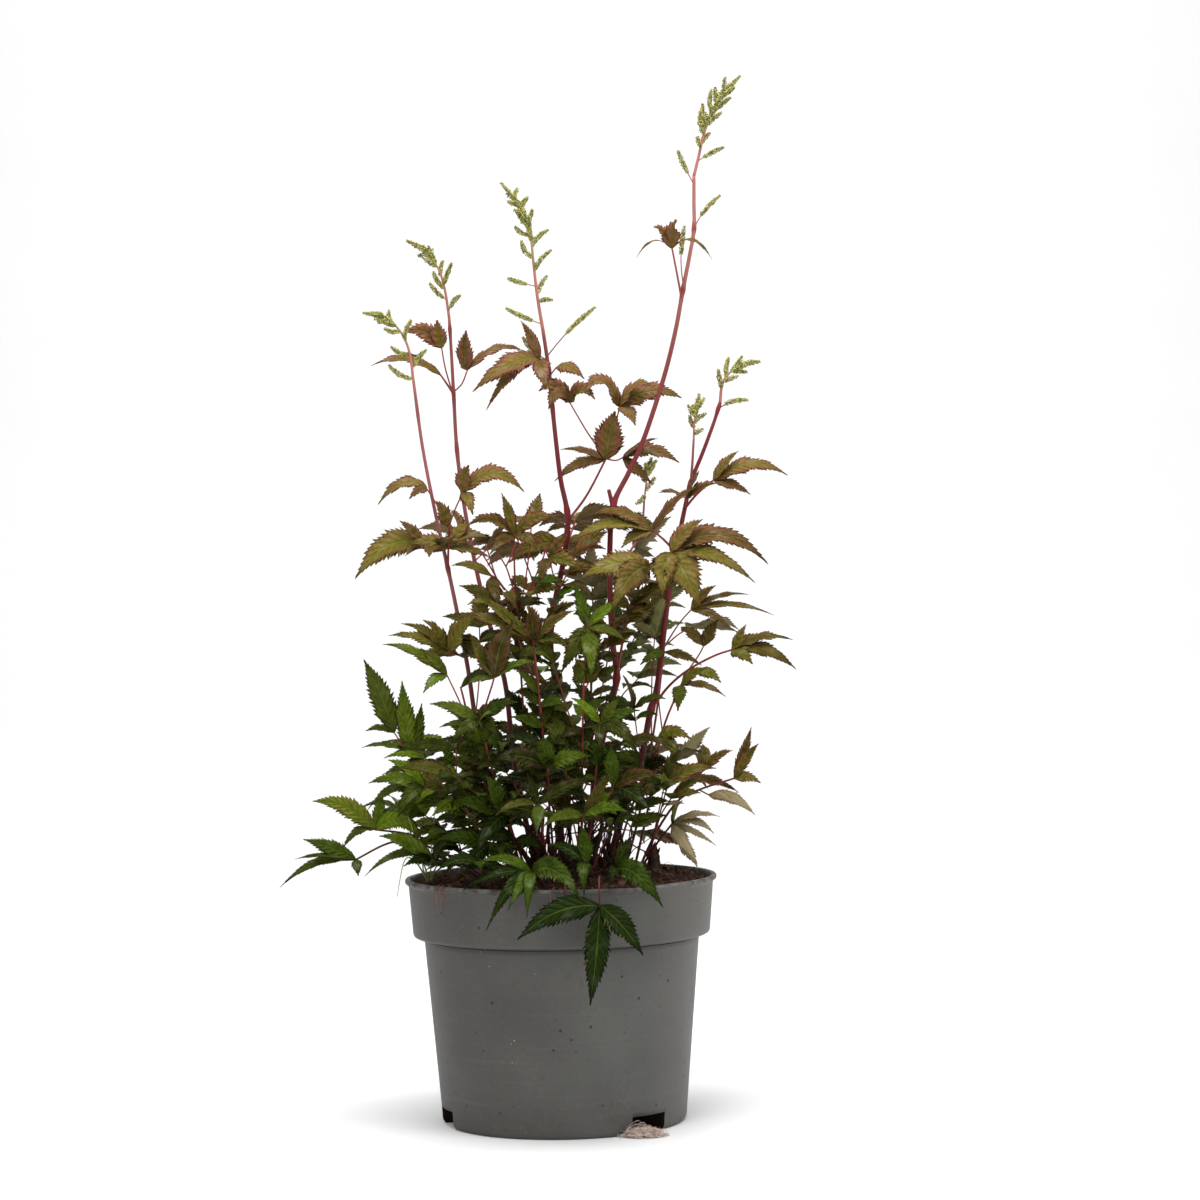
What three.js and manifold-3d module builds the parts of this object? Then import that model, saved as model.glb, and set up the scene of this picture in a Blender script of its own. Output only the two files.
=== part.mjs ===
// A garden astilbe in its plastic nursery pot: five flower stalks with divided leaves rise from
// a woody crown in the potting soil. Millimetres, +Z up, the front faces -Y, and the origin is
// at the centre of the pot's underside.
import * as THREE from "three";
import { mergeVertices } from "three/addons/utils/BufferGeometryUtils.js";
import Module from "manifold-3d";

const wasm = await Module();
wasm.setup();

// ---------------------------------------------------------------- driving dimensions
const GAP = 0.3; // clearance left between two pieces that touch

const POT_HEIGHT = 148;
const POT_SEGMENTS = 30;
const WALL = 1.6;
const LIP_RADIUS = 95;
const BAND = { top: 92.7, foot: 90.4, z: 110 }; // the wide band under the lip
const BODY = { top: 83.6, foot: 74.8 };
const BASE_RADIUS = 67.3;
const PAD_RADIUS = 50; // the part of the underside that rests on the ground
const CHANNEL = { inner: 53, outer: 61, z: 3.5 }; // raised ring that carries the drain holes
const NOTCH = { count: 3, first: 45, width: 26, height: 10.5, reach: 14 };
const DRAIN = { count: 6, radius: 3 };

const SOIL_TOP = 145; // mean level of the soil
const CROWN = { centre: [8, 0, SOIL_TOP], radii: [38, 30, 9] };
const STUB_RADIUS = 4.6;

const PETIOLE = { root: 0.95, tip: 0.75 }; // radii of a leaf's first stalk
const SPRAY = { root: 0.55, tip: 0.7 }; // radii of the stalks that branch from it
const BLADE = {
  thickness: 0.7,
  stalk: 0.3, // half width where the blade leaves its hub
  widest: 0.4, // share of the length at which it is widest
  keel: 0.32, // rise of each half over its width
  seat: 1.5, // step between two blades along the end of their spray
  offset: 0.09, // start of each blade beside the spray's axis
  edge: 3, // sharp edges clear their neighbours by this many gaps
};
const GOLDEN_ANGLE = 2.4; // radians between two leaflets around a spray
const FAN = {
  spread: 58, // degrees between the middle leaflet and a side one
  side: 0.78, // length of a side leaflet over the middle one
  slender: 0.42, // width over length
  droop: 0.22, // fall of the tip over the length
  lean: 40, // degrees the faces turn up towards the outside
  arch: 0.2,
};

const BUD = { stalk: 0.45, radius: 1.5, sides: 3, steps: 2 };
const RACHIS_TIP = 0.5; // radius at the top of a spike's axis

const GRASS_RADIUS = 0.6;
const TUFT = { distance: 72, radii: [12.4, 12, 5.7] }; // across, outward, height

// ---------------------------------------------------------------- materials
const finish = (color, roughness) => new THREE.MeshStandardMaterial({ color, roughness, metalness: 0 });
const POT_PLASTIC = finish(0x6b6a67, 0.55);
const SOIL = finish(0x2a1c16, 1);
const WOOD = finish(0x3a261c, 0.9);
const STALK = finish(0x8a3a3c, 0.5);
const STEM_LEAF = finish(0x4f4a26, 0.55);
const BASAL_LEAF = finish(0x2c4a1e, 0.5);
const BUDS = finish(0x8d9a4c, 0.7);
const GRASS = finish(0x6f8a3a, 0.6);
const FIBRE = finish(0x8c7765, 1);

// ---------------------------------------------------------------- solids
// A three.js geometry as a manifold solid: equal positions are merged and empty triangles dropped.
function solid(geometry) {
  const bare = new THREE.BufferGeometry();
  bare.setAttribute("position", geometry.attributes.position);
  bare.setIndex(geometry.index);
  const merged = mergeVertices(bare, 1e-4);
  const corners = merged.index.array;
  const faces = [];
  for (let i = 0; i < corners.length; i += 3) {
    const [a, b, c] = corners.slice(i, i + 3);
    if (a !== b && b !== c && c !== a) faces.push(a, b, c);
  }
  return new wasm.Manifold(
    new wasm.Mesh({
      numProp: 3,
      vertProperties: merged.attributes.position.array,
      triVerts: new Uint32Array(faces),
    }),
  );
}

const joined = (solids) => solids.reduce((whole, piece) => whole.add(piece));

function boxesMeet(one, other) {
  const [a, b] = [one.boundingBox(), other.boundingBox()];
  return [0, 1, 2].every((k) => a.min[k] < b.max[k] && b.min[k] < a.max[k]);
}

// A body less every tool that reaches it.
const cutBy = (body, tools) =>
  tools.reduce((rest, tool) => (boxesMeet(rest, tool) ? rest.subtract(tool) : rest), body);

// The largest connected piece of a body.
const largest = (body) => body.decompose().reduce((a, b) => (a.volume() > b.volume() ? a : b));

function meshOf(name, made, material) {
  const { vertProperties, triVerts } = made.getMesh();
  const geometry = new THREE.BufferGeometry();
  geometry.setAttribute("position", new THREE.BufferAttribute(vertProperties, 3));
  geometry.setIndex(new THREE.BufferAttribute(triVerts, 1));
  geometry.computeVertexNormals();
  const mesh = new THREE.Mesh(geometry, material);
  mesh.name = name;
  return mesh;
}

const vector = ([x, y, z]) => new THREE.Vector3(x, y, z);
const curveThrough = (points) =>
  points.length > 2
    ? new THREE.CatmullRomCurve3(points.map(vector), false, "centripetal")
    : new THREE.LineCurve3(vector(points[0]), vector(points[1]));

// Moves each vertex of a geometry to where place() puts it.
function reshape(geometry, place) {
  const position = geometry.attributes.position;
  for (let i = 0; i < position.count; i++) {
    const moved = place(new THREE.Vector3().fromBufferAttribute(position, i));
    position.setXYZ(i, moved.x, moved.y, moved.z);
  }
  return geometry;
}

// A stalk: a cylinder bent along a curve, whose radius is a function of the share of the way.
function stalk(curve, radiusAt, sides, steps) {
  let across = new THREE.Vector3(0.8, 0.6, 0);
  const stations = Array.from({ length: steps + 1 }, (_, i) => {
    const along = curve.getTangent(i / steps);
    across = across.clone().addScaledVector(along, -across.dot(along)).normalize();
    return { at: curve.getPoint(i / steps), across, out: new THREE.Vector3().crossVectors(across, along) };
  });
  return solid(
    reshape(new THREE.CylinderGeometry(1, 1, 1, sides, steps), (v) => {
      const i = Math.round((v.y + 0.5) * steps);
      const { at, across: wide, out } = stations[i];
      const radius = radiusAt(i / steps);
      return at.clone().addScaledVector(wide, v.x * radius).addScaledVector(out, v.z * radius);
    }),
  );
}

const taper = (root, tip) => (share) => root + (tip - root) * share;

// ---------------------------------------------------------------- pot
const ring = (points) => points.map(([r, z]) => new THREE.Vector2(r, z));

// The outline of the pot's wall in section: up the outside, over the rolled lip, down the inside.
const POT_SECTION = ring([
  [0, 0],
  [PAD_RADIUS, 0],
  [CHANNEL.inner, CHANNEL.z],
  [CHANNEL.outer, CHANNEL.z],
  [CHANNEL.outer + 2, 0],
  [BASE_RADIUS, 0],
  [BASE_RADIUS + 4.6, 2],
  [BODY.foot - 0.4, 7],
  [BODY.top, BAND.z - 2],
  [BAND.foot - 2.2, BAND.z],
  [BAND.foot, BAND.z + 2.4],
  [BAND.top, POT_HEIGHT - 3],
  [LIP_RADIUS - 1, POT_HEIGHT - 2.6],
  [LIP_RADIUS, POT_HEIGHT - 1.6],
  [LIP_RADIUS - 0.6, POT_HEIGHT],
  [BAND.top - WALL, POT_HEIGHT],
  [BAND.foot - WALL, BAND.z + 2.4 + WALL],
  [BODY.top - WALL, BAND.z - 2 + WALL],
  [BODY.foot - WALL, 8],
  [BASE_RADIUS, CHANNEL.z + WALL],
  [CHANNEL.inner - 0.7, CHANNEL.z + WALL],
  [PAD_RADIUS - 0.7, WALL],
  [0, WALL],
]);

function potSolid() {
  let pot = solid(new THREE.LatheGeometry(POT_SECTION, POT_SEGMENTS).rotateX(Math.PI / 2));
  for (let k = 0; k < NOTCH.count; k++) {
    const turn = THREE.MathUtils.degToRad(NOTCH.first - 90 + (360 * k) / NOTCH.count);
    const cut = new THREE.BoxGeometry(NOTCH.reach * 2, NOTCH.width, NOTCH.height * 2);
    pot = pot.subtract(solid(cut.translate(BODY.foot, 0, 0).rotateZ(turn)));
  }
  for (let k = 0; k < DRAIN.count; k++) {
    const turn = (Math.PI * (2 * k + 1)) / DRAIN.count - 0.26;
    const hole = new THREE.CylinderGeometry(DRAIN.radius, DRAIN.radius, 20, 6).rotateX(Math.PI / 2);
    const reach = (CHANNEL.inner + CHANNEL.outer) / 2;
    pot = pot.subtract(solid(hole.translate(reach * Math.cos(turn), reach * Math.sin(turn), 0)));
  }
  return pot;
}

// ---------------------------------------------------------------- soil, crown, old stub
const STUB = [
  [56, 22, SOIL_TOP - 8],
  [57, 23, SOIL_TOP + 10],
  [56, 22, SOIL_TOP + 20],
];

// The rise of the loose soil surface above its mean level.
const soilRise = (x, y) =>
  1.3 * Math.sin(x * 0.11 + 0.7) * Math.cos(y * 0.13) + 0.9 * Math.sin(x * 0.23 - y * 0.19 + 1.1);

function soilSolid(extra) {
  const side = ring([
    [0, CHANNEL.z + WALL + 0.4],
    [BASE_RADIUS - 1, CHANNEL.z + WALL + 0.4],
    [BODY.foot - WALL - 1, 10],
    [BODY.top - WALL - 0.7, BAND.z - 1],
    [BAND.foot - WALL - 1.5, BAND.z + 5],
    [BAND.top - WALL - 1.6, SOIL_TOP - 3],
    [76, SOIL_TOP],
    [52, SOIL_TOP],
    [26, SOIL_TOP],
    [0, SOIL_TOP],
  ]);
  const shape = new THREE.LatheGeometry(side, POT_SEGMENTS).rotateX(Math.PI / 2);
  return solid(
    reshape(shape, (v) => (v.z > SOIL_TOP - 1 ? v.setZ(v.z + soilRise(v.x, v.y) + extra) : v)),
  );
}

function crownSolid(extra) {
  const shape = new THREE.SphereGeometry(1, 12, 6).rotateX(Math.PI / 2);
  const [rx, ry, rz] = CROWN.radii.map((r) => r + extra);
  return solid(
    reshape(shape, (v) => {
      const knobs = 1 + 0.07 * Math.sin(5 * v.x + 3) * Math.sin(6 * v.y + 1);
      return new THREE.Vector3(v.x * rx * knobs, v.y * ry * knobs, v.z * rz).add(vector(CROWN.centre));
    }),
  );
}

const stubSolid = () => stalk(curveThrough(STUB), taper(STUB_RADIUS, STUB_RADIUS / 2), 7, 3);

// ---------------------------------------------------------------- flower stalks
// Each stalk: its centre line from the crown (or from the stalk that carries it) up to the
// flower spike, its radius at the foot and at the top, the centre line of the spike, and the
// bud clusters as [height on the line, tip x, y, z, bare share of the cluster's stalk].
const STALKS = [
  {
    name: "flower_stem_1", spike: "flower_spike_1", on: "crown", radii: [1.7, 0.9],
    line: [[-20, -3, 134], [-31, -5, 165], [-42, -8, 205], [-49, -9, 237], [-54, -10, 275],
      [-60, -12, 310], [-65, -12, 336], [-72, -14, 370], [-79, -15, 410], [-83.5, -16, 448]],
    top: [[-83.6, -16, 449.5], [-86, -17, 468], [-92, -18, 481], [-102, -20, 489], [-113, -21, 491]],
    stemBuds: [],
    buds: [[451, -98, -22, 459, 0.15], [455, -76, -10, 469, 0.3], [466, -97, -12, 471, 0.1],
      [474, -84, -22, 486, 0.1], [480, -100, -24, 481, 0.1], [484, -98, -14, 493, 0.1],
      [487, -104, -24, 485, 0.1]],
  },
  {
    name: "flower_stem_2", spike: "flower_spike_2", on: "crown", radii: [1.8, 0.9],
    line: [[-12, 8, 134], [-21, 12, 180], [-28, 16, 220], [-32, 17, 262], [-38, 18, 288],
      [-44, 19, 312], [-50, 20, 340], [-56, 21, 375], [-60, 22, 410], [-61.5, 23, 445],
      [-62.5, 24, 470], [-63.5, 24, 492]],
    top: [[-63.6, 24, 493.5], [-66, 24, 510], [-70, 24, 523], [-78, 23, 534], [-89, 22, 540]],
    stemBuds: [],
    buds: [[495, -56, 18, 505, 0.3], [503, -75, 20, 513, 0.2], [510, -73, 28, 521, 0.15],
      [512, -61, 18, 525, 0.1], [518, -67, 30, 528, 0.1], [524, -78, 18, 528, 0.1],
      [529, -73, 27, 535, 0.1], [532, -82, 26, 531, 0.1]],
  },
  {
    name: "flower_stem_3", spike: "flower_spike_3", on: "crown", radii: [2.4, 1.1],
    line: [[2, 0, 134], [0, 1, 180], [-1, 2, 225], [-1, 3, 262], [-4, 4, 290], [0, 3, 318],
      [5, 2, 340], [8, 1, 366], [4, 0, 390], [1, -2, 420], [-2, -4, 456], [-5, -5, 480]],
    top: [[-5.3, -5, 481.5], [-8, -6, 500], [-10, -6, 520], [-12, -7, 540], [-18, -7, 556],
      [-29, -8, 570]],
    stemBuds: [[464, 27, -12, 493, 0.5], [462, -17, -16, 475, 0.4]],
    buds: [[484, -27, -14, 493, 0.35], [497, 1, -10, 498, 0.2], [502, -2, 0, 514, 0.1],
      [507, -26, 2, 513, 0.4], [516, 1, -12, 528, 0.15], [524, -17, -12, 534, 0.1],
      [531, -1, 0, 542, 0.15], [538, -21, -2, 544, 0.2], [541, -10, -13, 553, 0.1],
      [547, -20, -2, 554, 0.1], [553, -13, -2, 562, 0.1], [557, -25, -12, 558, 0.1],
      [560, -19, -4, 567, 0.1]],
  },
  {
    name: "flower_stem_4", spike: "flower_spike_4", on: "crown", radii: [2.1, 1],
    line: [[14, -8, 134], [19, -13, 180], [25, -18, 222], [31, -21, 248], [36, -22, 268],
      [34, -20, 290], [33, -18, 320], [33.5, -16, 350], [36, -15, 373], [46, -13, 393],
      [56, -11, 415], [68, -9, 450], [75.5, -7, 478], [80.5, -6, 503], [85, -5, 524], [88, -4, 540],
      [88.3, -3, 556], [88.6, -3, 573]],
    top: [[89.1, -3, 574.5], [92, -2, 586], [95, -1, 598], [99, 0, 608], [107, 0, 623], [118, 0, 634]],
    stemBuds: [[505, 82, -14, 541, 0.62], [541, 104, -8, 560, 0.45], [568, 79, -6, 588, 0.45]],
    buds: [[582, 107, -4, 590, 0.3], [591, 91, -8, 596, 0.1], [593, 99, 4, 600, 0.1],
      [598, 93, -6, 612, 0.1], [601, 95, 4, 618, 0.1], [603, 106, -4, 611, 0.2],
      [610, 100, -6, 625, 0.1], [613, 112, 6, 622, 0.1], [617, 103, 5, 628, 0.1],
      [620, 114, -6, 626, 0.1], [624, 109, -3, 633, 0.1]],
  },
  {
    name: "flower_stem_5", spike: "flower_spike_5", on: "crown", radii: [2.2, 1],
    line: [[24, 4, 134], [37, 6, 180], [50, 8, 217], [56, 10, 244], [61, 11, 262], [65, 12, 290],
      [69, 13, 318], [73, 14, 342], [77, 14, 358], [80, 15, 371], [84, 15, 387], [92, 16, 406],
      [99, 17, 424], [103, 18, 436]],
    top: [[103.3, 18, 437.5], [104.5, 18, 447], [109, 18, 454], [118, 18, 459], [128, 18, 461]],
    stemBuds: [[432, 120, 14, 437, 0.35]],
    buds: [[445, 102, 12, 456, 0.1], [449, 114, 14, 452, 0.1], [451, 109, 22, 464, 0.1],
      [455, 120, 24, 455, 0.1], [457, 117, 14, 464, 0.1]],
  },
  {
    name: "side_shoot_6", spike: "flower_spike_6", on: "flower_stem_5", radii: [0.9, 0.7],
    line: [[84, 15, 387], [85, 12, 398], [86, 11, 412]],
    top: [[86.1, 11, 413.5], [87, 11, 426], [90, 10, 441]],
    stemBuds: [],
    buds: [[416, 92, 8, 419, 0.2], [420, 84, 14, 428, 0.1], [423, 94, 12, 429, 0.1],
      [427, 83, 8, 434, 0.1], [431, 93, 6, 438, 0.1]],
  },
  {
    name: "side_shoot_7", spike: "flower_spike_7", on: "flower_stem_4", radii: [0.9, 0.6],
    line: [[34, -17, 334], [42, -4, 340], [50, 6, 352], [54, 9, 366], [55, 9, 376]],
    top: [[55.1, 9, 377.5], [57, 9, 390], [60, 9, 402]],
    stemBuds: [],
    buds: [[380, 50, 6, 374, 0.2], [381, 62, 10, 390, 0.2], [387, 52, 12, 397, 0.1],
      [392, 63, 5, 400, 0.1]],
  },
];

// ---------------------------------------------------------------- divided leaves
// Each leaf: its name, the piece that carries it, and its sprays. A spray is a thin stalk along
// a line of points. At its end sit leaflets with given tips, as [x, y, z, width, lean, arch], or
// three leaflets by rule where the spray gives fan, their length. Lean is how far the upper face
// is turned from straight up to the front, in degrees, and arch is the rise of the blade's
// middle as a share of its level reach.
const LEAVES = [
  // on the flower stalks
  { name: "stem_leaf_01", on: "flower_stem_2", sprays: [
    { line: [[-61, 23, 441], [-62, 18.5, 445], [-65, 16, 450], [-69, 14, 456]],
      tips: [[-111, 4, 461, 10, 40, 0.26]] },
    { line: [[-62, 18.5, 445], [-66, 16, 460], [-68, 13, 473]],
      tips: [[-90, 6, 481, 12, 60, 0.3], [-70, 8, 489, 10, 55]] },
    { line: [[-62, 18.5, 445], [-56, 15, 450], [-52, 13, 459]],
      tips: [[-17, 2, 468, 11, 40, 0.3], [-52, 5, 482, 10, 55], [-58, 6, 469, 8, 40]] },
  ] },
  { name: "stem_leaf_02", on: "flower_stem_3", sprays: [
    { line: [[-1, -4, 453], [-5, -12, 460], [-7, -18, 462]],
      tips: [[-48, -30, 441, 18, 50, 0.3], [-40, -24, 430, 11, 40, 0.4], [-18, -27, 484, 8, 50],
        [-3, -36, 441, 11, 60]] },
    { line: [[-1, -4, 453], [3, -12, 457]], tips: [[20, -28, 448, 11, 50, 0.3]] },
  ] },
  { name: "stem_leaf_03", on: "flower_stem_3", sprays: [
    { line: [[8, 1, 364], [20, 6, 380], [32, 8, 402]],
      tips: [[4, 6, 408, 8, 40], [0, 2, 388, 11, 45], [38, -8, 430, 18, 70]] },
    { line: [[32, 8, 402], [21, 4, 418], [10, -2, 437]],
      tips: [[-6, -14, 450, 12, 50], [12, -20, 457, 12, 55], [24, -18, 440, 11, 55]] },
    { line: [[32, 8, 402], [37, 6, 418], [41, 2, 434]],
      tips: [[79, -8, 437, 16, 45, 0.3], [27, -14, 456, 14, 50], [56, -12, 457, 12, 50],
        [50, -18, 420, 10, 40]] },
    { line: [[32, 8, 402], [38, 10, 401], [43, 10, 403]],
      tips: [[77, 2, 398, 15, 50], [60, 4, 386, 9, 35], [64, -2, 413, 10, 40]] },
  ] },
  { name: "stem_leaf_04", on: "flower_stem_4", sprays: [
    { line: [[80, -6, 496], [77, -12, 512], [74, -16, 528]],
      tips: [[52, -26, 520, 8, 35, 0.5], [64, -25, 540, 11, 60, 0.4], [76, -29, 545, 10, 45, 0.3],
        [98, -28, 518, 8, 35, 0.5]] },
  ] },
  { name: "stem_leaf_05", on: "flower_stem_5", sprays: [
    { line: [[74, 14, 344], [66, 2, 352], [59, -12, 357]],
      tips: [[22, -28, 366, 11, 45], [10, -36, 350, 14, 50], [40, -28, 346, 11, 45],
        [87, -20, 383, 10, 40]] },
  ] },
  { name: "stem_leaf_06", on: "flower_stem_4", sprays: [
    { line: [[36, -22, 268], [40, -30, 290], [46, -36, 313], [57, -41, 336]],
      tips: [[15, -54, 328, 19, 55], [33, -62, 307, 18, 65, 0.3]] },
    { line: [[57, -41, 336], [64, -43, 341], [70, -44, 343]],
      tips: [[89, -42, 362, 12, 45], [127, -50, 334, 16, 40, 0.28], [119, -58, 323, 12, 45, 0.24],
        [86, -64, 309, 22, 70, 0.3], [64, -64, 316, 15, 65]] },
  ] },
  { name: "stem_leaf_07", on: "flower_stem_5", sprays: [
    { line: [[80, 15, 371], [88, 10, 380], [98, 6, 388]],
      tips: [[143, -4, 389, 15, 40, 0.34], [120, -2, 378, 10, 40], [113, 2, 405, 9, 40]] },
    { line: [[80, 15, 371], [81, 6, 377]],
      tips: [[99, -6, 385, 10, 40], [88, -6, 393, 8, 45], [64, -4, 380, 10, 40]] },
  ] },
  { name: "stem_leaf_08", on: "flower_stem_5", sprays: [
    { line: [[57, 10, 248], [68, 4, 262], [80, -3, 272], [95, -8, 280], [107, -10, 284]],
      tips: [[145, -16, 271, 15, 45, 0.26], [144, -4, 289, 11, 40], [115, -14, 299, 10, 45],
        [118, -25, 275, 11, 50]] },
    { line: [[80, -3, 272], [86, 0, 280], [90, 0, 287]],
      tips: [[98, -2, 302, 9, 45], [76, 4, 298, 9, 40]] },
    { line: [[80, -3, 272], [85, -8, 271]], tips: [[99, -18, 264, 9, 45]] },
  ] },
  { name: "stem_leaf_09", on: "flower_stem_1", sprays: [
    { line: [[-65, -12, 336], [-64, -20, 350], [-63, -24, 362]], tips: [[-70, -36, 376, 10, 55]] },
    { line: [[-63, -24, 362], [-70, -28, 374], [-76, -30, 384]],
      tips: [[-105, -36, 374, 11, 40, 0.4], [-86, -42, 377, 8, 45, 0.3]] },
    { line: [[-63, -24, 362], [-59, -26, 372], [-54, -28, 382]],
      tips: [[-17, -38, 380, 15, 45, 0.45], [-50, -36, 397, 11, 50], [-48, -41, 367, 9, 45, 0.3]] },
  ] },
  { name: "stem_leaf_10", on: "flower_stem_1", sprays: [
    { line: [[-67, -13, 348], [-69, -17, 348], [-80, -20, 351]],
      tips: [[-120, -30, 330, 19, 50, 0.3], [-93, -22, 365, 9, 45], [-102, -6, 342, 10, 30]] },
    { line: [[-69, -17, 348], [-62, -19, 353]],
      tips: [[-40, -17, 354, 11, 45], [-52, -12, 364, 10, 40]] },
  ] },
  { name: "stem_leaf_11", on: "flower_stem_2", sprays: [
    { line: [[-50, 20, 341], [-54, 28, 352], [-60, 34, 358]],
      tips: [[-86, 42, 362, 11, -30], [-64, 52, 374, 11, -35]] },
    { line: [[-50, 20, 341], [-43, 30, 348]],
      tips: [[-18, 44, 356, 12, -30], [-36, 58, 348, 12, -40], [-26, 34, 368, 10, -30]] },
  ] },
  { name: "stem_leaf_12", on: "flower_stem_1", sprays: [
    { line: [[-55, -10, 282], [-60, -19, 284], [-65, -26, 286]],
      tips: [[-100, -38, 296, 10, 40], [-79, -43, 305, 11, 50], [-93, -28, 303, 8, 40],
        [-47, -42, 307, 15, 55]] },
  ] },
  { name: "stem_leaf_13", on: "flower_stem_3", sprays: [
    { line: [[5, 2, 340], [8, 16, 352], [12, 32, 364]], fan: 42 },
    { line: [[8, 16, 352], [22, 30, 358], [34, 38, 362]], fan: 36 },
    { line: [[8, 16, 352], [-6, 28, 350], [-18, 38, 348]], fan: 34 },
  ] },
  // from the crown: middle and upper tiers
  { name: "basal_leaf_01", on: "crown", sprays: [
    { line: [[34, 10, 133], [48, 18, 180], [57, 22, 225], [62, 23, 255], [66, 22, 286]],
      tips: [[50, 30, 304, 11, -30]] },
    { line: [[66, 22, 286], [75, 12, 300], [83, 7, 309]],
      tips: [[118, 0, 317, 8, 35], [133, -4, 304, 10, 40], [98, 6, 323, 9, 45],
        [106, -10, 297, 10, 45]] },
    { line: [[66, 22, 286], [76, 30, 294], [86, 38, 298]], fan: 36 },
  ] },
  { name: "basal_leaf_02", on: "crown", sprays: [
    { line: [[40, -6, 133], [54, -14, 190], [63, -20, 235], [75, -24, 264]],
      tips: [[90, -34, 273, 11, 45], [101, -38, 256, 10, 40], [72, -43, 248, 12, 60]] },
    { line: [[63, -20, 235], [61, -28, 260], [65, -31, 284]],
      tips: [[87, -36, 275, 10, 40], [50, -42, 276, 11, 45]] },
    { line: [[56, -15, 200], [58, -26, 222], [61, -30, 234]],
      tips: [[80, -36, 231, 12, 50, 0.3], [72, -44, 220, 12, 55]] },
    { line: [[54, -14, 190], [48, -26, 232], [46, -32, 250]], fan: 34 },
  ] },
  { name: "basal_leaf_03", on: "crown", sprays: [
    { line: [[-10, -10, 133], [-15, -20, 180], [-20, -28, 245], [-22, -30, 290], [-24, -30, 330],
        [-24, -30, 356]],
      tips: [[-52, -42, 360, 15, 50, 0.3], [1, -42, 364, 15, 50, 0.3], [-38, -49, 343, 12, 55],
        [-31, -36, 380, 9, 50], [-10, -50, 345, 12, 55]] },
    { line: [[-23, -30, 310], [-32, -35, 322], [-38, -38, 331]],
      tips: [[-61, -47, 337, 11, 45], [-32, -53, 311, 12, 50]] },
    { line: [[-22, -30, 304], [-12, -36, 326], [-3, -40, 341]],
      tips: [[16, -54, 333, 14, 50], [-9, -54, 326, 11, 50], [8, -46, 354, 11, 45]] },
  ] },
  { name: "basal_leaf_04", on: "crown", sprays: [
    { line: [[-20, -14, 133], [-38, -30, 190], [-50, -40, 235], [-57, -44, 265]],
      tips: [[-36, -53, 271, 10, 40, 0.3]] },
    { line: [[-50, -40, 235], [-57, -48, 255], [-65, -50, 273]],
      tips: [[-102, -58, 291, 11, 45], [-80, -58, 288, 10, 45], [-78, -64, 262, 11, 50]] },
  ] },
  { name: "basal_leaf_05", on: "crown", sprays: [
    { line: [[-24, -22, 133], [-40, -50, 190], [-45, -58, 237], [-36, -64, 271]],
      tips: [[-53, -71, 266, 9, 40], [-24, -74, 303, 19, 75], [-10, -73, 279, 11, 45],
        [-50, -68, 297, 12, 55]] },
  ] },
  { name: "basal_leaf_06", on: "crown", sprays: [
    { line: [[-2, -20, 133], [-6, -40, 200], [-10, -54, 260], [-13, -58, 292]],
      tips: [[-61, -62, 308, 12, 45], [-47, -57, 320, 11, 45], [-16, -75, 313, 16, 60],
        [12, -70, 309, 14, 50], [8, -76, 287, 12, 55]] },
    { line: [[-6, -40, 200], [-22, -46, 226], [-30, -50, 238]], fan: 36 },
  ] },
  { name: "basal_leaf_07", on: "crown", sprays: [
    { line: [[12, -22, 133], [14, -42, 200], [16, -52, 260], [19, -56, 300]],
      tips: [[21, -75, 268, 16, 70, 0.3], [3, -66, 272, 16, 65, 0.3], [42, -68, 290, 12, 50],
        [43, -56, 314, 11, 45], [12, -60, 324, 11, 50]] },
    { line: [[14, -42, 200], [28, -46, 226], [36, -48, 238]], fan: 36 },
  ] },
  { name: "basal_leaf_08", on: "crown", sprays: [
    { line: [[14, -26, 133], [20, -56, 190], [26, -66, 243]],
      tips: [[9, -76, 258, 11, 50], [37, -78, 257, 11, 50], [49, -72, 250, 11, 45],
        [47, -83, 226, 15, 65, 0.3], [26, -86, 226, 12, 65, 0.3]] },
    { line: [[20, -56, 190], [4, -60, 214], [-4, -60, 224]], fan: 36 },
  ] },
  { name: "basal_leaf_09", on: "crown", sprays: [
    { line: [[-16, -24, 133], [-32, -56, 190], [-45, -68, 246]],
      tips: [[-74, -75, 256, 14, 50], [-34, -82, 236, 12, 60, 0.3], [-22, -75, 256, 11, 45],
        [-61, -83, 233, 14, 60, 0.3]] },
    { line: [[-32, -56, 190], [-50, -60, 204], [-60, -62, 212]], fan: 38 },
  ] },
  // from the crown: left side
  { name: "basal_leaf_10", on: "crown", sprays: [
    { line: [[-28, -4, 133], [-55, -10, 180], [-78, -16, 212], [-90, -18, 226]],
      tips: [[-93, -26, 269, 16, 80], [-82, -20, 255, 11, 70], [-62, -22, 226, 12, 45, 0.35],
        [-118, -30, 229, 10, 40]] },
    { line: [[-90, -18, 226], [-95, -20, 232], [-99, -20, 238]],
      tips: [[-116, -24, 282, 19, 80], [-115, -30, 239, 10, 45]] },
    { line: [[-55, -10, 180], [-50, -14, 214], [-50, -18, 236]], fan: 36 },
  ] },
  { name: "basal_leaf_11", on: "crown", sprays: [
    { line: [[-26, -16, 133], [-48, -30, 178], [-66, -40, 200], [-80, -44, 205]],
      tips: [[-112, -54, 209, 16, 50], [-101, -43, 222, 11, 45], [-113, -52, 193, 12, 50, 0.3],
        [-94, -62, 189, 14, 55, 0.3]] },
    { line: [[-56, -35, 188], [-60, -44, 210], [-60, -48, 228]],
      tips: [[-96, -52, 227, 11, 65], [-40, -56, 238, 11, 50]] },
    { line: [[-56, -35, 188], [-56, -47, 197]],
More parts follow.
